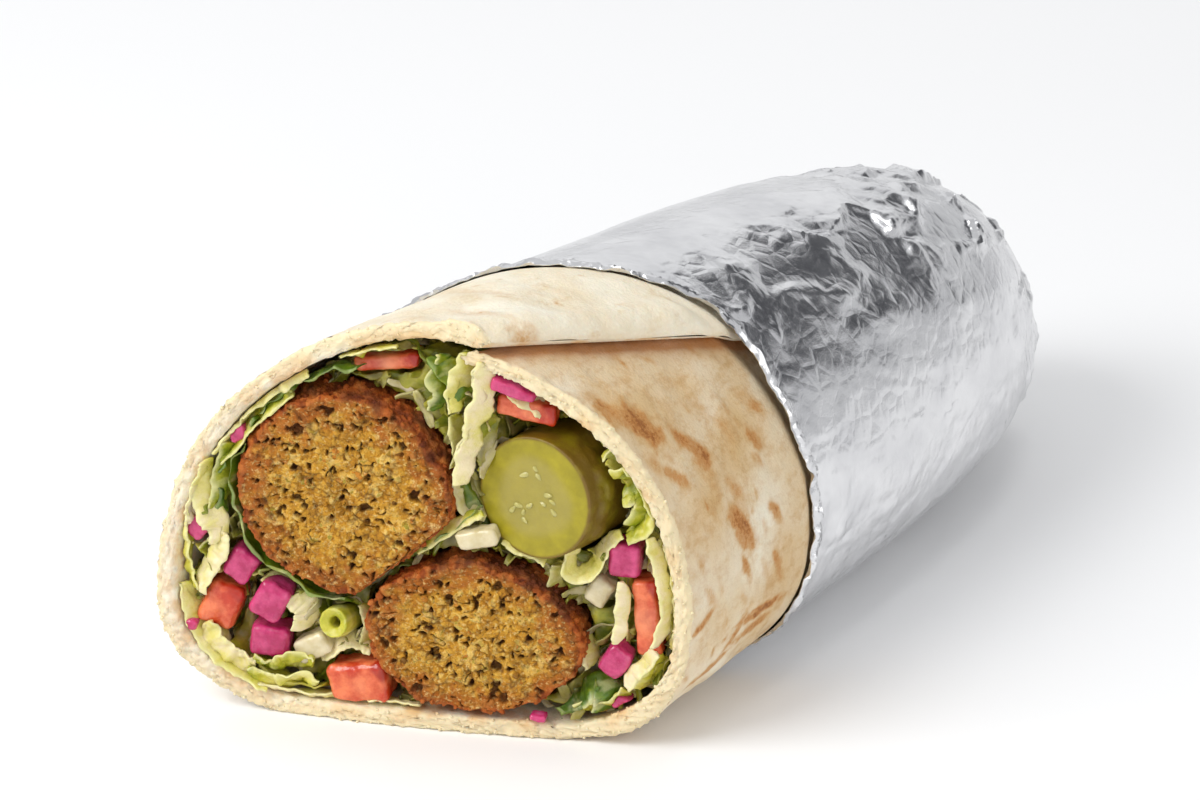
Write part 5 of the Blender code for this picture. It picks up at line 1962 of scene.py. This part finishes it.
    def strips(self, finish: Material) -> Piece:
        """All the strips, as one piece.

        Args:
            finish: the material that covers them.

        Returns:
            The piece.
        """
        bm = bmesh.new()
        for label in ("tone", "rim"):
            bm.verts.layers.float.new(label)
        for number, strand in enumerate(self.strands):
            grid, tone, rim = self.strip(strand, number)
            self.add_strip(bm, grid, 0.5 * strand.thick * MM, {"tone": tone, "rim": rim})
        bmesh.ops.recalc_face_normals(bm, faces=bm.faces)
        mesh = bpy.data.meshes.new("salad_strips")
        bm.to_mesh(mesh)
        bm.free()
        mesh.shade_smooth()
        return dress(new_object("salad_strips", mesh), finish, "salad")

    def core(self, finish: Material) -> Piece:
        """The mass behind the strips, pushed in a little so that the real strips lie over it.

        Args:
            finish: the material that covers it.

        Returns:
            The core.
        """
        piece = refined_copy("salad_core", "salad", 0.6 * MM, 3)
        mesh = piece.data
        points, normals = points_of(mesh), normals_of(mesh)
        folds = 0.5 - nearest_cells(points * [1, 0.4, 1], 2.6 * MM, 149)[0]
        bump = 0.6 * fractal(points, 4 * MM, 141, 3) + 0.6 * folds
        move_points(mesh, points + normals * ((bump - 0.6) * MM)[:, None])
        turn = math.radians(FORM.slant)
        facing = ramp(normals @ np.array([math.sin(turn), -math.cos(turn), 0.0]), 0.1, 0.4)
        behind = FORM.behind(points)
        open_to_cut = facing * ramp(behind, 1.6 * MM, 1.2 * MM) * fade(behind, 24 * MM, 4 * MM)
        keep_field(mesh, "loose", open_to_cut)
        keep_field(mesh, "tone", 0.45 + 0.35 * fractal(points, 5 * MM, 151, 3))
        keep_field(mesh, "shade", np.clip(0.55 - 0.9 * bump, 0.15, 0.9))
        return dress(piece, finish, "salad", "salad")

    def build(self, finish: Material) -> None:
        """Builds the core, the strips that show and the loose shreds between them.

        Args:
            finish: the material that covers them.
        """
        core = self.core(finish)
        self.strips(finish)
        for name, seed, size, tones in (
            ("loose_cabbage", 3, 8.0 * MM, (0.0, 0.25)), ("loose_lettuce", 8, 9.0 * MM, (0.3, 0.7)),
        ):
            Scatter(
                name, Bit.SHRED, spacing=2.2 * MM, density=120000.0, sizes=(0.6 * size, size),
                seed=seed, sink=0.3 * MM, flat=True, tones=tones,
            ).strew(core.data, "loose", finish, "salad")


# Stage


@dataclass
class Studio:
    """A plain pale floor, soft light and the camera at the photograph's angle."""

    azimuth: float = 35.68
    elevation: float = 24.0
    distance: float = 0.93
    lens: float = 180.0
    sensor: float = 36.0
    target: tuple[float, float, float] = (-6.64 * MM, -11.07 * MM, 32.06 * MM)
    # a dark card behind the wrap, for the metal's folds to mirror
    card: tuple[float, float, float] = (0.3, 0.78, 0.55)
    card_colour: str = "#636468"
    sky_colour: str = "#F4F5F7"
    sky_strength: float = 0.74
    floor_half: float = 3.0
    floor_drop: float = 0.05 * MM

    def back(self) -> Vector:
        """The direction from the wrap to the camera."""
        az, el = math.radians(self.azimuth), math.radians(self.elevation)
        return Vector((math.sin(az) * math.cos(el), -math.cos(az) * math.cos(el), math.sin(el)))

    def camera(self) -> None:
        """Sets up the camera."""
        data = bpy.data.cameras.new("camera")
        data.lens, data.sensor_width = self.lens, self.sensor
        data.clip_start, data.clip_end = 0.05, 20.0
        made = bpy.data.objects.new("camera", data)
        made.location = Vector(self.target) + self.back() * self.distance
        made.rotation_euler = self.back().to_track_quat("Z", "Y").to_euler()
        bpy.context.scene.collection.objects.link(made)
        bpy.context.scene.camera = made

    def light(
        self, name: str, place: tuple[float, float, float], size: float, watts: float
    ) -> None:
        """A square soft light that faces the wrap.

        Args:
            name: the light's name.
            place: where it stands.
            size: the length of its sides.
            watts: how strong it is.
        """
        data = bpy.data.lights.new(name, "AREA")
        data.size, data.energy = size, watts
        made = bpy.data.objects.new(name, data)
        made.location = place
        made.rotation_euler = Vector(place).to_track_quat("Z", "Y").to_euler()
        bpy.context.scene.collection.objects.link(made)

    def floor(self) -> None:
        """A floor of matt white card, just under the wrap."""
        corners = [
            (x * self.floor_half, y * self.floor_half, -self.floor_drop)
            for x, y in ((-1, -1), (1, -1), (1, 1), (-1, 1))]
        mesh = bpy.data.meshes.new("floor")
        mesh.from_pydata(corners, [], [(0, 1, 2, 3)])
        floor = new_object("floor", mesh)
        paint = Paint("matt white card", {"Roughness": 0.9, "Specular IOR Level": 0.1})
        cloud = paint.eased(paint.swells(0.4, 2, 0.5), 0.3, 0.7)
        mesh.materials.append(paint.finished(paint.mixed(cloud, "#F6F6F6", "#F8F8F8"), None, 0.0))

    def sky(self) -> None:
        """Soft white light from all round, but for the dark card."""
        world = bpy.data.worlds.new("soft white studio")
        world.use_nodes = True
        tree = world.node_tree
        sky = tree.nodes["Background"]
        way = add_node(tree, "ShaderNodeTexCoord").outputs["Generated"]
        ragged = add_node(
            tree, "ShaderNodeTexNoise", {"Scale": 2.5, "Detail": 2.0}, {"Vector": way})
        near = add_node(
            tree, "ShaderNodeVectorMath", {"operation": "DOT_PRODUCT", 1: self.card}, {0: way})
        near = add_node(
            tree, "ShaderNodeMath", {"operation": "MULTIPLY_ADD", 1: 0.2},
            {0: ragged.outputs[0], 2: near.outputs["Value"]})
        dark = add_node(
            tree, "ShaderNodeMapRange", {"From Min": 0.985, "From Max": 1.06},
            {"Value": near.outputs[0]})
        mixed = add_node(
            tree, "ShaderNodeMix", {"data_type": "RGBA", 6: self.sky_colour, 7: self.card_colour},
            {0: dark.outputs[0]})
        tree.links.new(mixed.outputs[2], sky.inputs["Color"])
        sky.inputs["Strength"].default_value = self.sky_strength
        bpy.context.scene.world = world

    def build(self) -> None:
        """Builds the floor, the sky, the lights and the camera."""
        self.floor()
        self.sky()
        bpy.context.scene.view_settings.view_transform = "Standard"
        self.light("key", (-0.3, -0.62, 0.62), 0.5, 5.2)
        self.light("fill", (0.75, -0.3, 0.35), 0.6, 1.15)
        self.light("overhead", (0.1, 0.15, 0.95), 0.25, 0.65)
        self.light("back", (-0.55, 0.75, 0.45), 0.8, 0.5)
        self.camera()


# The finishes and tones of the filling's cut pieces
CUCUMBER = MoistFlesh(
    "pickled cucumber flesh", "#92860A", "#A89A12", "#6E5408", "#A2944A",
    depth=3 * MM, roughness=0.5, wet=0.05)
CUCUMBER_SEEDS = MoistFlesh("cucumber seeds", "#B2A856", "#C9BE7C", glow=0.5, roughness=0.25)
DICED = {
    "turnip": MoistFlesh(
        "pickled turnip", "#AE1C58", "#D4487F", core="#DE76A4",
        glow=0.3, patch=2.6 * MM, wet=0.35),
    "tomato": MoistFlesh(
        "diced tomato", "#C43A1A", "#EC8052", "#A81E10", "#F0AC82",
        glow=0.4, patch=3.0 * MM, wet=0.22),
    "onion": MoistFlesh("diced white onion", "#CFC196", "#DED2B0", glow=0.45, patch=2.5 * MM),
}
LEAF_TONES = {"leaf_right": 0.36, "leaf_low_left": 0.4, "leaf_top": 0.74}
DARK_LEAF_TONE = 0.84
STEM_TONE = 0.45


def build_greens() -> None:
    """Builds the leaves, the slice of stem and the shredded salad, which share a finish."""
    leaf = SaladLeaf().material()
    for node in sorted(n for n in frame["nodes"] if n.startswith("leaf_")):
        Leaf(node, LEAF_TONES.get(node, DARK_LEAF_TONE)).build(leaf)
    stem = refined_copy("stem_ring", "stem_slice", 0.25 * MM, 3)
    keep_field(stem.data, "tone", np.full(len(stem.data.vertices), STEM_TONE))
    dress(stem, leaf, "lettuce_leaf", "stem_slice")
    ShreddedSalad().build(leaf)


def main() -> None:
    """Builds each part of the wrap and the stage that it lies on."""
    logging.basicConfig(level=logging.INFO, format="%(name)s: %(message)s")
    Flatbread().build(GriddledFlatbread().material())
    FoilSleeve().build(KitchenFoil().material())
    fried = FriedChickpea().material()
    bearing = ((0.676, 0, -0.737), 12.5)
    FriedBall(
        "falafel_upper", (-11.8, 37.1, 4.5), (16.0, 13.0, 16.1), 4.5, bearing, 3).build(fried)
    FriedBall("falafel_lower", (7.6, 15.6, 3.6), (16.3, 13.5, 11.8), 3.6, None, 9).build(fried)
    Cucumber().build(CUCUMBER.material(), CUCUMBER_SEEDS.material())
    for kind, finish in DICED.items():
        CutPieces(kind).build(finish.material())
    build_greens()
    Studio().build()


if __name__ == "__main__":
    main()
